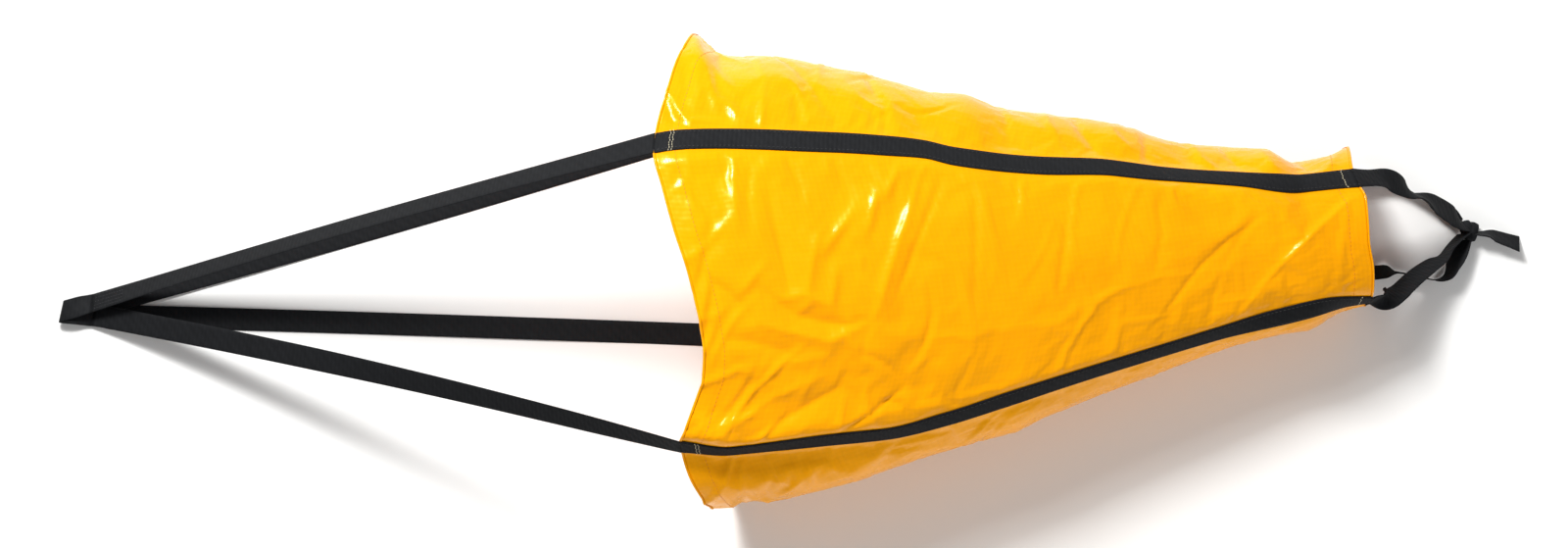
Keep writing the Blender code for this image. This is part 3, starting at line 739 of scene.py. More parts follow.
def polypropylene_webbing():
    """Woven polypropylene webbing, dark grey: matt, ribbed across, with fine bright and dark
    yarns that run in a close twill."""
    material, tree = new_material("polypropylene_webbing")
    cut, place = add_places(tree)
    # Ribs of the weave are 1.2 mm apart; drawn 2.4 mm apart, so that they show.
    ribs = add_bands(tree, (-1150, 150), "Y", cut, 0.0024, Distortion=1.2, Detail=2.0,
                     Detail_Scale=2.0)
    yarns = add_bands(tree, (-1150, -100), "DIAGONAL", cut, 0.0032, Distortion=1.0,
                      Detail=2.0, Detail_Scale=2.0)
    weave = add_math(tree, (-900, 50), "ADD", ribs, yarns)
    fuzz = add_noise(tree, (-1150, -400), place, 90.0, Detail=5.0, Roughness=0.65)
    tone = add_range(tree, (-650, 50), weave, 0.88, 1.1, 0.2, 1.8)
    wear = add_range(tree, (-650, -250), fuzz, 0.88, 1.18, 0.3, 0.75)
    both = add_math(tree, (-450, -100), "MULTIPLY", tone, wear)
    base = add_shade(tree, (-250, 0), bpy.context.scene.sea_anchor_webbing.colour, both)
    add_surface(tree, (150, 0), Base_Color=base, Roughness=0.72, IOR=1.49,
                Specular_IOR_Level=0.14, Normal=add_bump(tree, (-250, -250), weave, 0.3, 0.0005))
    return material


def bonded_polyester_thread(name, colour):
    """Bonded polyester sewing thread, twisted: a soft satin with a fine slanting ply."""
    material, tree = new_material(name)
    place = add_node(tree, "ShaderNodeTexCoord", (-900, 0)).outputs["Object"]
    # The plies are 0.3 mm apart; drawn 0.9 mm apart, so that they show.
    ply = add_bands(tree, (-700, 0), "DIAGONAL", place, 0.0009, Distortion=0.4)
    base = add_shade(tree, (-250, 0), colour, add_range(tree, (-450, 0), ply, 0.8, 1.1))
    add_surface(tree, (0, 0), Base_Color=base, Roughness=0.5, IOR=1.5,
                Normal=add_bump(tree, (-250, -250), ply, 0.4, 0.0002))
    return material


def studio_floor(colour):
    """Matt white backdrop paper on a flat floor, with a barely visible tooth."""
    material, tree = new_material("backdrop_paper")
    place = add_node(tree, "ShaderNodeTexCoord", (-700, 0)).outputs["Object"]
    tooth = add_noise(tree, (-500, 0), place, 300.0, Detail=2.0)
    add_surface(tree, (0, 0), Base_Color=(*colour, 1), Roughness=0.9, Specular_IOR_Level=0.1,
                Normal=add_bump(tree, (-250, -150), tooth, 0.05, 0.0005))
    return material


@functools.lru_cache(maxsize=None)
def finish(kind):
    """Each material is made once and shared by its pieces."""
    stitches = bpy.context.scene.sea_anchor_stitches
    threads = {
        "tack_thread": ("natural_polyester_thread", stitches.tack_colour),
        "black_thread": ("black_polyester_thread", linear("#232325")),
        "yellow_thread": ("yellow_polyester_thread", linear("#E08A00")),
    }
    if kind in threads:
        return bonded_polyester_thread(*threads[kind])
    return {"fabric": pvc_coated_polyester, "webbing": polypropylene_webbing}[kind]()


# ---- stage -----------------------------------------------------------------------------------

CAMERA_LENS, CAMERA_SENSOR, CAMERA_SIGHT = 65.7, 36.0, 50
CAMERA_OVER = (-0.0076, -0.0097)
CAMERA_TURN = -4.36         # degrees about the line straight down
FLOOR_REACH = 12.0
SKY_STRENGTH = 0.26
LIT_POINT = (0.2, 0.0, 0.1)
# Lamps: name, place, width, height and watts; the key's are a setting
LAMPS = (("key", (-0.7, 2.1, 2.7), 1.1, 1.1, None),
         ("glint", (-0.5, 1.5, 1.9), 0.42, 0.5, 52.0),
         ("fill", (0.9, -2.6, 1.3), 2.2, 1.6, 38.0))


class SEA_ANCHOR_OT_stage(bpy.types.Operator):
    """Sets up the camera, the floor and the lights"""
    bl_idname = "sea_anchor.stage"
    bl_label = "Stage"

    def execute(self, context):
        scene = context.scene
        stage = scene.sea_anchor_stage
        camera = bpy.data.cameras.new("camera")
        camera.sensor_width, camera.lens = CAMERA_SENSOR, CAMERA_LENS
        camera.clip_end = CAMERA_SIGHT
        eye = bpy.data.objects.new("camera", camera)
        eye.location = (*CAMERA_OVER, stage.camera_height)
        eye.rotation_euler = (0, 0, math.radians(CAMERA_TURN))
        scene.collection.objects.link(eye)
        scene.camera = eye

        corners = np.array([(x, y, 0) for y in (-1, 1) for x in (-1, 1)]) * FLOOR_REACH
        mesh = quad_mesh("floor", corners, np.array([[0, 1, 3, 2]]))
        floor = finished_piece("floor", mesh, studio_floor(stage.floor_colour), False)

        world = bpy.data.worlds.new("soft_sky")
        world.use_nodes = True
        sky = world.node_tree.nodes["Background"]
        sky.inputs["Color"].default_value = (*linear("#FCFCFF"), 1)
        sky.inputs["Strength"].default_value = SKY_STRENGTH
        scene.world = world

        for name, place, width, height, power in LAMPS:
            light = bpy.data.lights.new(name, "AREA")
            light.shape = "RECTANGLE"
            light.size, light.size_y = width, height
            light.energy = stage.key if power is None else power
            lamp = bpy.data.objects.new(name, light)
            lamp.location = place
            # The fill only lifts the shadows: its panel isn't mirrored in the gloss
            lamp.visible_glossy = name != "fill"
            aim = np.array(LIT_POINT) - np.array(place)
            lamp.rotation_euler = (math.atan2(math.hypot(aim[0], aim[1]), -aim[2]), 0,
                                   math.atan2(-aim[0], aim[1]))
            scene.collection.objects.link(lamp)
        scene.view_settings.view_transform = "Standard"
        return {"FINISHED"}


# ---- cone ------------------------------------------------------------------------------------

# Each gore: its CAD node and which quarter of the girth it is, from the upper left webbing
GORES = (("left_gore", "panel_left", 0), ("belly_gore", "panel_belly", 1),
         ("right_gore", "panel_right", 2), ("top_gore", "panel_top", 3))


def cloth_measure(points):
    """Distances in metres along and round a part of the skin, for the weave."""
    along = np.linalg.norm(np.diff(points, axis=0), axis=-1).mean(1)
    along = np.concatenate(([0.0], np.cumsum(along)))
    around = np.linalg.norm(np.diff(points, axis=1), axis=-1)
    around = np.concatenate((np.zeros((len(points), 1)), np.cumsum(around, axis=1)), axis=1)
    around = around - around[:, -1:] / 2
    return np.stack((around, np.broadcast_to(along[:, None], around.shape)), -1)


def quarter(grid, index):
    columns = np.arange(index * GORE, (index + 1) * GORE + 1) % (4 * GORE)
    return grid[:, columns]


HEM_GAP = 0.0002


def hem_grid(points, normals, at_mouth, width, wall):
    """The turned-in hem: from its raw edge inside, out to the cone's edge, and round the fold
    to just over the outer face. Points and normals [row, column]."""
    step = np.linalg.norm(np.diff(points.mean(1), axis=0), axis=-1).mean()
    rows = max(3, round(width / step))
    if not at_mouth:
        points, normals = points[::-1], normals[::-1]
    band = points[rows::-1] - normals[rows::-1] * (wall * 1.5 + HEM_GAP)
    out = unit(points[0] - points[1])
    radius = wall / 2 + HEM_GAP + wall / 2
    middle = points[0] - normals[0] * (wall / 2)
    fold = [middle + out * radius * math.sin(a) - normals[0] * radius * math.cos(a)
            for a in np.radians((30, 60, 90, 120, 150))]
    lip = points[0] + normals[0] * (wall / 2 + HEM_GAP) - out * 0.0012
    return np.concatenate((band, np.array(fold), lip[None]))


def thick_ring(name, middle, wall):
    """A closed ring of fabric round a grid's middle surface."""
    along = np.gradient(middle, axis=0)
    around = np.roll(middle, -1, 1) - np.roll(middle, 1, 1)
    normal = unit(np.cross(along, around))
    measure = np.zeros((*middle.shape[:2], 2))
    measure[..., 0] = np.cumsum(np.linalg.norm(around / 2, axis=-1).mean(0))[None]
    measure[..., 1] = np.concatenate(
        ([0], np.cumsum(np.linalg.norm(np.diff(middle, axis=0), axis=-1).mean(1))))[:, None]
    return slab(name, middle + normal * wall / 2, middle - normal * wall / 2, measure, True)


class SEA_ANCHOR_OT_cone(bpy.types.Operator):
    """Builds the four gores of coated fabric and the two hems"""
    bl_idname = "sea_anchor.cone"
    bl_label = "Fabric cone"

    def execute(self, context):
        settings = context.scene.sea_anchor_fabric
        points, normals, _ = skin()
        wall = settings.wall
        for name, node, index in GORES:
            outer, facing = quarter(points, index), quarter(normals, index)
            mesh = slab(name, outer, outer - facing * wall, cloth_measure(outer))
            gore = finished_piece(name, mesh, finish("fabric"))
            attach(gore, "cone")
            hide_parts(node)
        for name, at_mouth in (("mouth_hem_fold", True), ("tail_hem_fold", False)):
            middle = hem_grid(points, normals, at_mouth, settings.hem_width, wall)
            if not at_mouth:
                middle = middle[::-1]
            hem = finished_piece(name, thick_ring(name, middle, wall * 0.8), finish("fabric"))
            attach(hem, "cone")
            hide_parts("mouth_hem" if at_mouth else "tail_hem")
        return {"FINISHED"}


# ---- webbing ---------------------------------------------------------------------------------

# Offsets across a webbing of its nine columns, of its width
ACROSS = np.array((-0.5, -0.47, -0.33, -0.165, 0.0, 0.165, 0.33, 0.47, 0.5))
STRAP_LIFT = 0.0003
STRAPS = (("upper_left", 0), ("lower_left", 1), ("lower_right", 2), ("upper_right", 3))


def smoothed(values, times):
    """Rounds off a path [row, ...] without moving its ends."""
    for _ in range(times):
        middle = (values[:-2] + 2 * values[1:-1] + values[2:]) / 4
        values = np.concatenate((values[:1], middle, values[-1:]))
    return values


@functools.lru_cache(maxsize=None)
def strap_surface(index, width, thickness):
    """Middle surface and normals of the webbing along the cone over quarter line index."""
    points, normals, _ = skin()
    reach = 14
    columns = (np.arange(-reach, reach + 1) + index * GORE) % (4 * GORE)
    strip, facing = points[:, columns], normals[:, columns]
    middle = np.empty((ROWS, len(ACROSS), 3))
    normal = np.empty_like(middle)
    for row in range(ROWS):
        step = np.linalg.norm(np.diff(strip[row], axis=0), axis=-1)
        place = np.concatenate(([0.0], np.cumsum(step)))
        place -= place[reach]
        for axis in range(3):
            middle[row, :, axis] = np.interp(ACROSS * width, place, strip[row, :, axis])
            normal[row, :, axis] = np.interp(ACROSS * width, place, facing[row, :, axis])
    normal = unit(smoothed(normal, 12))
    middle = smoothed(middle, 6) + normal * (STRAP_LIFT + thickness / 2)
    middle[..., 2] = np.maximum(middle[..., 2], thickness / 2 + 0.0001)
    return middle, normal


def move_with(piece, motion):
    """Moves the piece with one body given by name; given a bend between two bodies, it only fixes
    the piece where it stands.
    """
    if isinstance(motion, str):
        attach(piece, motion)
    else:
        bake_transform(piece)


def webbing_piece(name, middle, normal, thickness, motion, node):
    """Builds one webbing from its middle surface and hides the CAD part it stands for."""
    piece = finished_piece(name, webbing_body(name, middle, normal, thickness),
                           finish("webbing"))
    move_with(piece, motion)
    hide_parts(node)


def above_floor(middle, thickness):
    """Keeps a webbing's middle surface clear of the floor."""
    middle[..., 2] = np.maximum(middle[..., 2], thickness * 0.6)
    return middle


class SEA_ANCHOR_OT_straps(bpy.types.Operator):
    """Lays the four webbings along the cone's seams"""
    bl_idname = "sea_anchor.straps"
    bl_label = "Cone straps"

    def execute(self, context):
        settings = context.scene.sea_anchor_webbing
        for name, index in STRAPS:
            middle, normal = strap_surface(index, settings.width, settings.thickness)
            webbing_piece("seam_webbing_" + name, middle, normal, settings.thickness, "cone",
                          "strap_" + name)
        return {"FINISHED"}


def free_webbing(path, rolls, first, width, rows):
    """Middle surface and normals of a webbing along a path of points. rolls is (share, degrees)
    of how far its left edge tips down. first is the direction across it where it starts, or
    None."""
    path = np.array(path, float)
    lengths = np.concatenate(([0], np.cumsum(np.linalg.norm(np.diff(path, axis=0), axis=1))))
    share = np.linspace(0, 1, rows)
    places = lengths / lengths[-1]
    centre = np.stack([through(np.stack((places, path[:, axis]), -1), share)
                       for axis in range(3)], -1)
    centre = smoothed(centre, max(2, rows // 30))
    along = unit(np.gradient(centre, axis=0))
    level = unit(np.cross((0.0, 0.0, 1.0), along))
    up = unit(np.cross(along, level))
    rolls = list(rolls)
    if first is not None:
        rolls[0] = (rolls[0][0], math.degrees(math.atan2(-np.dot(first, up[0]),
                                                         np.dot(first, level[0]))))
    roll = np.radians(through(rolls, share))[:, None]
    across = level * np.cos(roll) - up * np.sin(roll)
    if first is not None:
        keep = (1 - ease(share / 0.02))[:, None]
        across = across * (1 - keep) + np.array(first) * keep
    across = unit(across)
    normal = unit(np.cross(along, across))
    middle = centre[:, None] + across[:, None] * (ACROSS * width)[None, :, None]
    return middle, np.repeat(normal[:, None], len(ACROSS), axis=1)


# The tow eye: the middle of its fold on the floor, the direction along the fold, and the
# middles of the four legs where they leave it
APEX = np.array((-0.815, 0.0096, 0.0))
FOLD_ACROSS = np.array((0.292, 0.956, 0.0))
LAYER = 0.0017              # from one webbing of the eye to the next
TURN_INSIDE = 0.004         # inner radius of the eye's fold
LEG_ROWS, TAIL_ROWS, TAB_ROWS = 140, 90, 40
# Webbing from one body to the next: the bodies, and the points it would bend between; it is fixed
# in place, not bent
CONE_TO_BRIDLE = ("cone", "bridle", (-0.10, 0.0, 0.13), (-0.42, 0.0, 0.13))
BRIDLE_TO_EYE = ("bridle", "tow_eye", (-0.778, 0.0155, 0.0), (-0.792, 0.0130, 0.0))
CONE_TO_GATHER = ("cone", "tail_gather", (0.63, -0.005, 0.07), (0.72, -0.02, 0.03))
GATHER_TO_TAB = ("tail_gather", "tail_tab", (0.7640, -0.0231, 0.011), (0.7830, -0.0270, 0.011))
LEG_ENDS = {
    "upper_left": (-0.7790, 0.0165, 0.0098),
    "lower_left": (-0.7802, 0.0129, 0.0026),
    "lower_right": (-0.7812, 0.0030, 0.0008),
    "upper_right": (-0.7804, 0.0036, 0.0044),
}
# Bridle legs: sideways bow halfway, and how far the right edge tips up, (share, degrees)
LEG_BOW = {"upper_left": 0.0045, "upper_right": 0.006, "lower_left": -0.003,
           "lower_right": 0.001}
LEG_ROLL = {
    "upper_left": ((0, -38), (0.12, -43), (0.35, -49), (0.6, -50), (0.86, -46), (1, -38)),
    "upper_right": ((0, 66), (0.15, 45), (0.32, 34), (0.49, 22), (0.65, 8), (1, 0)),
    "lower_left": ((0, 0), (1, 0)),
    "lower_right": ((0, 0), (0.1, 4), (0.3, -4), (0.6, 0), (1, 0)),
}


def leg_surface(name, index, width, thickness):
    """Middle surface and normals of a bridle leg, from its strap's end to the tow eye."""
    strap, _ = strap_surface(index, width, thickness)
    start = strap[0, 4]
    first = unit(strap[0, -1] - strap[0, 0])
    first = -first if first[1] > 0 else first
    end = np.array(LEG_ENDS[name])
    share = np.linspace(0, 1, 25)[:, None]
    path = start + (end - start) * share
    if name.startswith("upper"):
        drop = 1.1 if name == "upper_right" else 1.0
        path[:, 2] = end[2] + (start[2] - end[2]) * (1 - share[:, 0]) ** drop
    else:
        path[:, 2] = start[2] + (end[2] - start[2]) * ease((share[:, 0] - 0.55) / 0.25)
    path[:, 1] += LEG_BOW[name] * np.sin(np.pi * share[:, 0])
    return free_webbing(path, LEG_ROLL[name], first, width, LEG_ROWS)


def eye_surface(over, under, turn_radius, low, width):
    """Middle surface and normals of one webbing folded back on itself in the tow eye. It comes
    in from the leg over, given by the ends of that leg's last row, and goes out to under."""
    sign = 1 if over[1][1] > over[0][1] else -1
    over_middle, under_middle = (over[0] + over[1]) / 2, (under[0] + under[1]) / 2
    length = np.linalg.norm((over_middle - APEX)[:2])
    top = low + 2 * turn_radius

    def row_of(edges, reach, share):
        across = unit(edges[1] - edges[0])
        across = across if across[1] * sign > 0 else -across
        centre = APEX + ((edges[0] + edges[1]) / 2 - APEX) * reach
        return centre, unit(FOLD_ACROSS * sign * (1 - share) + across * share)

    rows = []
    for reach in (1.0, 0.8, 0.62, 0.46, 0.34):
        centre, side = row_of(over, reach, float(ease((reach - 0.2) / 0.8)))
        centre[2] = top + (over_middle[2] - top) * float(ease((reach - 0.34) / 0.66))
        rows.append((centre, side))
    for turn in np.linspace(0, math.pi, 13):
        reach = (turn_radius * (1 - math.sin(turn)) + 0.0007) / length
        centre, _ = row_of(over if turn < math.pi / 2 else under, reach, 0.0)
        centre[2] = low + turn_radius * (1 + math.cos(turn))
        rows.append((centre, FOLD_ACROSS * sign))
    for reach in (0.34, 0.5, 0.75, 1.0):
        share = float(ease((reach - 0.2) / 0.8))
        centre, side = row_of(under, reach, share)
        centre[2] = low + (under_middle[2] - low) * share
        rows.append((centre, side))
    centre, across = (np.array(column) for column in zip(*rows))
    normal = unit(np.cross(unit(np.gradient(centre, axis=0)), across))
    middle = centre[:, None] + across[:, None] * (ACROSS * width)[None, :, None]
    return middle, np.repeat(normal[:, None], len(ACROSS), axis=1)


class SEA_ANCHOR_OT_bridle(bpy.types.Operator):
    """Builds the four bridle legs and the folded tow eye they meet in"""
    bl_idname = "sea_anchor.bridle"
    bl_label = "Bridle"

    def execute(self, context):
        settings = context.scene.sea_anchor_webbing
        width, thickness = settings.width, settings.thickness
        ends = {}
        for name, index in STRAPS:
            middle, normal = leg_surface(name, index, width, thickness)
            ends[name] = middle[-1, 0], middle[-1, -1]
            webbing_piece("bridle_leg_" + name, middle, normal, thickness, CONE_TO_BRIDLE,
                          "leg_" + name)
        radius = TURN_INSIDE + thickness / 2
        for name, turn_radius, over, under, low in (
                ("eye_inner", radius, "upper_right", "lower_left", LAYER),
                ("eye_outer", radius + LAYER, "upper_left", "lower_right", 0.0)):
            middle, normal = eye_surface(ends[over], ends[under], turn_radius,
                                         low + thickness / 2, width)
            webbing_piece("tow_" + name, middle, normal, thickness, BRIDLE_TO_EYE, name)
        return {"FINISHED"}


# Tails: points from the cone's edge to the knot, and how far the left edge tips down
TAILS = {
    "upper_left": (
        ((0.6448, 0.0438, 0.116), (0.663, 0.0365, 0.103), (0.6765, 0.0283, 0.092),
         (0.6888, 0.0213, 0.082), (0.7019, 0.0163, 0.070), (0.7138, 0.0103, 0.058),
         (0.7288, 0.0019, 0.042), (0.742, -0.0067, 0.027), (0.751, -0.0130, 0.0145)),
        ((0, 42), (0.12, 44), (0.28, 20), (0.38, 42), (0.48, 84), (0.55, 66), (0.68, 34),
         (0.84, 30), (1, 74))),
    "lower_left": (
        ((0.6513, 0.0478, 0.014), (0.6664, 0.0456, 0.014), (0.6822, 0.0378, 0.014),
         (0.6936, 0.0293, 0.014), (0.704, 0.0219, 0.014), (0.715, 0.0168, 0.012),
         (0.7248, 0.0106, 0.010), (0.7365, 0.0021, 0.009), (0.7494, -0.0105, 0.008)),
        ((0, 0), (0.2, 50), (0.4, 80), (0.6, 86), (0.75, 50), (0.9, 40), (1, 60))),
    "lower_right": (
        ((0.6495, -0.0582, 0.010), (0.662, -0.058, 0.013), (0.6748, -0.0601, 0.014),
         (0.6887, -0.0634, 0.014), (0.7052, -0.069, 0.0135), (0.7194, -0.0723, 0.0135),
         (0.7295, -0.0690, 0.0135), (0.737, -0.0560, 0.013), (0.7445, -0.0400, 0.011),
         (0.751, -0.029, 0.009)),
        ((0, 0), (0.10, 50), (0.26, 55), (0.34, 86), (0.6, 88), (0.75, 72), (0.9, 42),
         (1, 60))),
    "upper_right": (
        ((0.6342, -0.0859, 0.094), (0.6459, -0.0863, 0.084), (0.6596, -0.0815, 0.072),
         (0.6736, -0.073, 0.060), (0.6875, -0.0643, 0.049), (0.7048, -0.0548, 0.038),
         (0.7216, -0.0463, 0.029), (0.7329, -0.036, 0.022), (0.7447, -0.0268, 0.016),
         (0.7515, -0.0225, 0.0125)),
        ((0, -70), (0.06, -72), (0.13, -20), (0.2, 30), (0.35, 46), (0.55, 50), (0.7, 62),
         (0.82, 82), (1, 80))),
}
TAB = ((0.7634, -0.0231, 0.012), (0.771, -0.0242, 0.0135), (0.782, -0.0267, 0.012),
       (0.7929, -0.0308, 0.0105), (0.8027, -0.0348, 0.0095), (0.8125, -0.0388, 0.0085))
TAB_ROLL = ((0, 80), (0.2, 76), (0.45, 56), (0.8, 50), (1, 45))


# The knot's two turns: middle, half sizes across and up, lean in radians and width
KNOT_TURNS = (((0.756, -0.0195, 0.0086), (0.0095, 0.0072), 0.35, 0.012),
              ((0.7605, -0.0210, 0.0088), (0.0088, 0.0070), -0.30, 0.011))
TURN_POINTS = 48
TURN_GIRTH = 0.05


def wrapped_turn(centre, radii, lean, width):
    """A flattened turn of webbing wrapped round the gathered straps, leaning over them."""
    turn = np.linspace(0, 2 * math.pi, TURN_POINTS + 1)[:-1]
    shape = np.stack((0 * turn, np.cos(turn) * radii[0], np.sin(turn) * radii[1]), -1)
    spin = np.array(((math.cos(lean), -math.sin(lean), 0), (math.sin(lean), math.cos(lean), 0),
                     (0, 0, 1)))
    ring = shape @ spin.T + np.array(centre)
    across = spin @ np.array((1.0, 0.0, 0.0))
    normal = unit(shape @ spin.T * np.array((1, 1, 1.6)))
    bulge = 1 - (ACROSS * 1.9) ** 2
    middle = (ring[:, None] + across[None, None] * (ACROSS * width)[None, :, None]
              + normal[:, None] * (bulge * 0.0016)[None, :, None])
    return middle, np.repeat(normal[:, None], len(ACROSS), axis=1)


class SEA_ANCHOR_OT_tail(bpy.types.Operator):
    """Builds the four tail straps, the knot that gathers them and the free end"""
    bl_idname = "sea_anchor.tail"
    bl_label = "Tail"

    def execute(self, context):
        settings = context.scene.sea_anchor_webbing
        width, thickness = settings.width, settings.thickness
        for name, index in STRAPS:
            strap, _ = strap_surface(index, width, thickness)
            first = unit(strap[-1, -1] - strap[-1, 0])
            points, rolls = TAILS[name]
            path = [strap[-1, 4], *points]
            if name.startswith("lower"):
                first = first if first[1] > 0 else -first
            middle, normal = free_webbing(path, rolls, first, width, TAIL_ROWS)
            webbing_piece("tail_strap_" + name, above_floor(middle, thickness), normal,
                          thickness, CONE_TO_GATHER, "tail_" + name)
        build_knot(settings)
        middle, normal = free_webbing(TAB, TAB_ROLL, None, width, TAB_ROWS)
        webbing_piece("free_end", above_floor(middle, thickness), normal, thickness,
                      GATHER_TO_TAB, "tail_tab")
        return {"FINISHED"}


def build_knot(settings):
    """Two crossing turns of webbing drawn tight round the gathered straps."""
    thickness = settings.thickness
    for number, (centre, radii, lean, width) in enumerate(KNOT_TURNS, 1):
        middle, normal = wrapped_turn(centre, radii, lean, width)
        middle = above_floor(middle, thickness)
        name = "knot_turn_%d" % number
        round_it = np.linspace(0, TURN_GIRTH, TURN_POINTS)
        measure = np.stack(np.broadcast_arrays((ACROSS * width)[:, None], round_it[None]), -1)
        mesh = slab(name, np.swapaxes(middle + normal * thickness / 2, 0, 1),
                    np.swapaxes(middle - normal * thickness / 2, 0, 1), measure, True)
        turn = finished_piece(name, mesh, finish("webbing"))
        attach(turn, "tail_gather")
    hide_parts("tail_knot")


# ---- stitches --------------------------------------------------------------------------------

def stitch_tree():
    """Geometry Nodes that set a short stitch of thread at every pitch along each edge line."""
    tree = bpy.data.node_groups.new("stitches_along_lines", "GeometryNodeTree")
    face = tree.interface
    face.new_socket("Geometry", in_out="INPUT", socket_type="NodeSocketGeometry")
    for name, kind in (("Pitch", "NodeSocketFloat"), ("Length", "NodeSocketFloat"),
                       ("Thread", "NodeSocketFloat"), ("Tilt", "NodeSocketFloat"),
                       ("Seed", "NodeSocketInt"), ("Material", "NodeSocketMaterial")):
        face.new_socket(name, in_out="INPUT", socket_type=kind)
    face.new_socket("Geometry", in_out="OUTPUT", socket_type="NodeSocketGeometry")
    given = add_node(tree, "NodeGroupInput", (-1200, 0))
    curve = add_node(tree, "GeometryNodeMeshToCurve", (-1000, 0), (),
                     Mesh=given.outputs["Geometry"])
    spaced = add_node(tree, "GeometryNodeResampleCurve", (-800, 0), {"mode": "LENGTH"},
                      Curve=curve.outputs["Curve"], Length=given.outputs["Pitch"])
    tangent = add_node(tree, "GeometryNodeInputTangent", (-1000, -200))
    aligned = add_node(tree, "FunctionNodeAlignRotationToVector", (-800, -200), {"axis": "X"},
                       Vector=tangent.outputs["Tangent"])
    less = add_node(tree, "ShaderNodeMath", (-1000, -500), {"operation": "MULTIPLY"},
                    _0=given.outputs["Tilt"], _1=-1.0)
    wander = add_node(tree, "FunctionNodeRandomValue", (-800, -450), {"data_type": "FLOAT"},
                      Seed=given.outputs["Seed"])
    tree.links.new(less.outputs[0], wander.inputs[2])
    tree.links.new(given.outputs["Tilt"], wander.inputs[3])
    swing = add_node(tree, "ShaderNodeCombineXYZ", (-600, -450), (), Z=wander.outputs[1])
    turned = add_node(tree, "FunctionNodeRotateRotation", (-400, -250),
                      {"rotation_space": "LOCAL"}, Rotation=aligned.outputs["Rotation"])
    tree.links.new(swing.outputs["Vector"], turned.inputs["Rotate By"])
    bead = add_node(tree, "GeometryNodeMeshUVSphere", (-800, 300), (), Segments=8, Rings=6,
                    Radius=0.5)
    size = add_node(tree, "ShaderNodeCombineXYZ", (-800, 150), (), X=given.outputs["Length"],
                    Y=given.outputs["Thread"], Z=given.outputs["Thread"])
    placed = add_node(tree, "GeometryNodeInstanceOnPoints", (-200, 0), (),
                      Points=spaced.outputs["Curve"], Instance=bead.outputs["Mesh"],
                      Rotation=turned.outputs["Rotation"], Scale=size.outputs["Vector"])
    real = add_node(tree, "GeometryNodeRealizeInstances", (0, 0), (),
                    Geometry=placed.outputs["Instances"])
    painted = add_node(tree, "GeometryNodeSetMaterial", (200, 0), (),
                       Geometry=real.outputs["Geometry"], Material=given.outputs["Material"])
    add_node(tree, "NodeGroupOutput", (400, 0), (), Geometry=painted.outputs["Geometry"])
    return tree


def sewn(name, lines, kind, motion, pitch, length, thread):
    """Stitches along the given lines of points, as one plain mesh."""
    points, edges = [], []
    for line in lines:
        first = len(points)
        points += [tuple(point) for point in line]
        edges += [(first + i, first + i + 1) for i in range(len(line) - 1)]
    mesh = bpy.data.meshes.new(name)
    mesh.from_pydata(points, edges, [])
    guide = bpy.data.objects.new(name, mesh)
    bpy.context.collection.objects.link(guide)
    tree = bpy.data.node_groups.get("stitches_along_lines") or stitch_tree()
    modifier = guide.modifiers.new("stitches", "NODES")
    modifier.node_group = tree
    sockets = {item.name: item.identifier for item in tree.interface.items_tree
               if item.in_out == "INPUT"}
    given = {"Pitch": pitch, "Length": length, "Thread": thread, "Tilt": 0.10,
             "Seed": bpy.context.scene.sea_anchor_stitches.seed, "Material": finish(kind)}
    for label, value in given.items():
        modifier[sockets[label]] = value
    evaluated = guide.evaluated_get(bpy.context.evaluated_depsgraph_get())
    plain = bpy.data.meshes.new_from_object(evaluated)
    guide.modifiers.remove(modifier)
    guide.data = plain
    bpy.data.meshes.remove(mesh)
    plain.polygons.foreach_set("use_smooth", [True] * len(plain.polygons))
    move_with(guide, motion)
    return guide


TACK_PLACES = (0.0165, 0.0185)      # from the webbing's end at the mouth
TACK_ZIGZAG = 0.0006
EDGE_SHARE = 0.7                    # how near the selvedge its line of stitches runs
EYE_LINES = (0.12, 0.3, 0.5, 0.7, 0.88)


def across_webbing(middle, normal, at, height):
    """A line across a webbing at a distance along it from its first row, over its face."""
    along = np.concatenate(([0.0], np.cumsum(np.linalg.norm(
        np.diff(middle[:, 4], axis=0), axis=-1))))
    row = int(np.argmin(np.abs(along - at)))
    inner = slice(1, -1)
    line = middle[row, inner] + normal[row, inner] * height
    way = unit(middle[min(row + 1, len(middle) - 1), 4] - middle[max(row - 1, 0), 4])
    wave = np.array((-1, 1) * 4)[:len(line)]
    return line + way * (wave * TACK_ZIGZAG)[:, None]


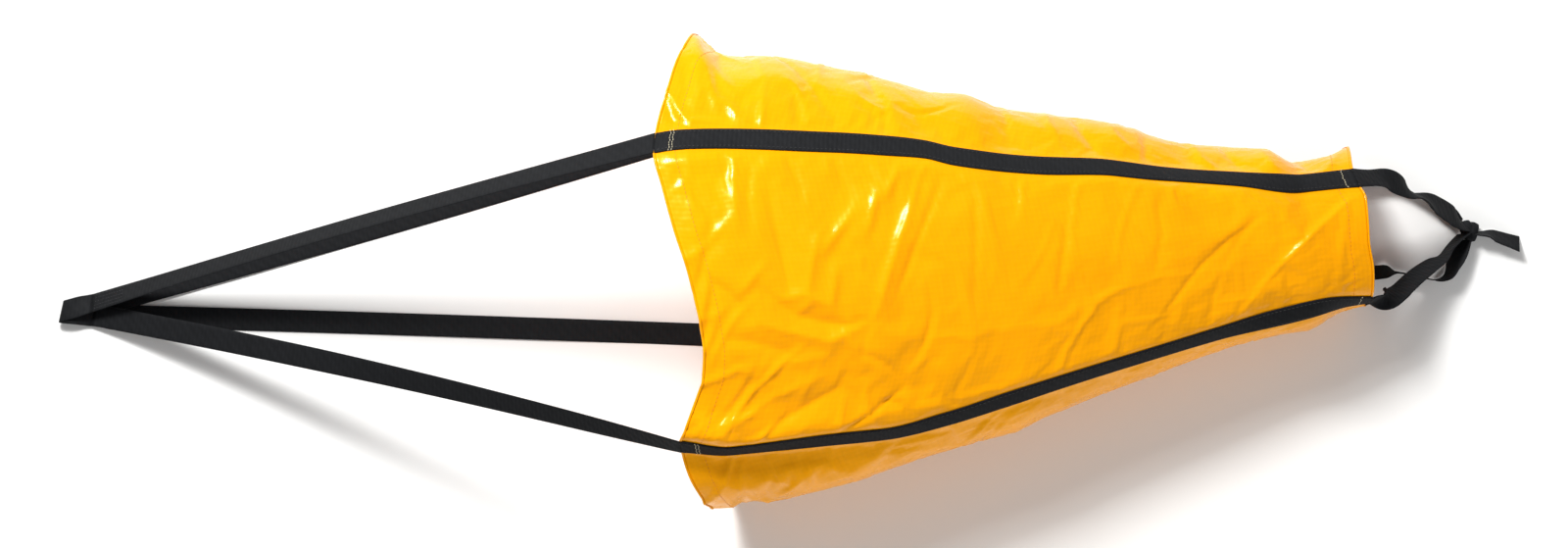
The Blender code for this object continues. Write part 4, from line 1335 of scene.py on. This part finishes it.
class SEA_ANCHOR_OT_stitching(bpy.types.Operator):
    """Sews the hems, the webbing edges, the bar tacks and the tow eye"""
    bl_idname = "sea_anchor.stitching"
    bl_label = "Stitching"

    def execute(self, context):
        thread = context.scene.sea_anchor_stitches
        webbing = context.scene.sea_anchor_webbing
        fabric = context.scene.sea_anchor_fabric
        points, normals, _ = skin()
        step = float(np.linalg.norm(np.diff(points.mean(1), axis=0), axis=-1).mean())
        inset = round((fabric.hem_width - 0.004) / step)
        hems = []
        for row in (inset, ROWS - 1 - inset):
            line = points[row] + normals[row] * thread.thread * 0.2
            hems.append(np.concatenate((line, line[:1])))
        sewn("hem_stitches", hems, "yellow_thread", "cone", thread.pitch,
             thread.length, thread.thread)

        edges, tacks = [], []
        height = webbing.thickness / 2 + thread.thread * 0.15
        for name, index in STRAPS:
            middle, normal = strap_surface(index, webbing.width, webbing.thickness)
            for column, beside in ((1, 2), (-2, -3)):
                line = middle[:, column] * (1 - EDGE_SHARE) + middle[:, beside] * EDGE_SHARE
                edges.append(line + normal[:, column] * height)
            if name.startswith("upper"):
                for at in TACK_PLACES:
                    tacks.append(across_webbing(middle, normal, at, height))
                    tacks.append(across_webbing(middle[::-1], normal[::-1], at * 0.8, height))
        sewn("webbing_stitches", edges, "black_thread", "cone", thread.pitch,
             thread.length, thread.thread)
        made = sewn("bar_tacks", tacks, "tack_thread", "cone", thread.pitch * 0.62,
                    thread.length * 0.8, thread.thread * 1.1)
        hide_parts(*(place + "_tack_" + name for place in ("mouth", "tail")
                            for name, _ in STRAPS))
        middle, normal = leg_surface("upper_left", 0, webbing.width, webbing.thickness)
        middle, normal = middle[-9:-1], normal[-9:-1]
        block = []
        for share in EYE_LINES:
            line = middle[:, 0] * (1 - share) + middle[:, -1] * share
            block.append(line + normal[:, 4] * height)
        made = sewn("eye_stitches", block, "black_thread", CONE_TO_BRIDLE, thread.pitch * 0.7,
                    thread.length * 0.8, thread.thread)
        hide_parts("eye_stitching")
        return {"FINISHED"}


# ---- panel and running -----------------------------------------------------------------------

OPERATORS = (SEA_ANCHOR_OT_stage, SEA_ANCHOR_OT_cone, SEA_ANCHOR_OT_straps,
             SEA_ANCHOR_OT_bridle, SEA_ANCHOR_OT_tail, SEA_ANCHOR_OT_stitching)


class SEA_ANCHOR_PT_sidebar(bpy.types.Panel):
    """Lists the sea anchor's sizes and the steps that build it"""
    bl_idname = "SEA_ANCHOR_PT_sidebar"
    bl_label = "Sea Anchor"
    bl_space_type = "VIEW_3D"
    bl_region_type = "UI"
    bl_category = "Sea Anchor"

    def draw(self, context):
        scene = context.scene
        for group in (scene.sea_anchor_fabric, scene.sea_anchor_webbing,
                      scene.sea_anchor_stitches, scene.sea_anchor_stage):
            box = self.layout.box()
            for name in group.bl_rna.properties.keys():
                if name not in ("rna_type", "name"):
                    box.prop(group, name)
        for operator in OPERATORS:
            self.layout.operator(operator.bl_idname)


SETTINGS = {"sea_anchor_fabric": FabricSettings, "sea_anchor_webbing": WebbingSettings,
            "sea_anchor_stitches": StitchSettings, "sea_anchor_stage": StageSettings}
CLASSES = (*SETTINGS.values(), *OPERATORS, SEA_ANCHOR_PT_sidebar)


def register():
    for item in CLASSES:
        bpy.utils.register_class(item)
    for name, group in SETTINGS.items():
        setattr(bpy.types.Scene, name, PointerProperty(type=group))


def unregister():
    for name in SETTINGS:
        delattr(bpy.types.Scene, name)
    for item in reversed(CLASSES):
        bpy.utils.unregister_class(item)


def main():
    register()
    for operator in OPERATORS:
        category, name = operator.bl_idname.split(".")
        getattr(getattr(bpy.ops, category), name)()


if __name__ == "__main__":
    main()
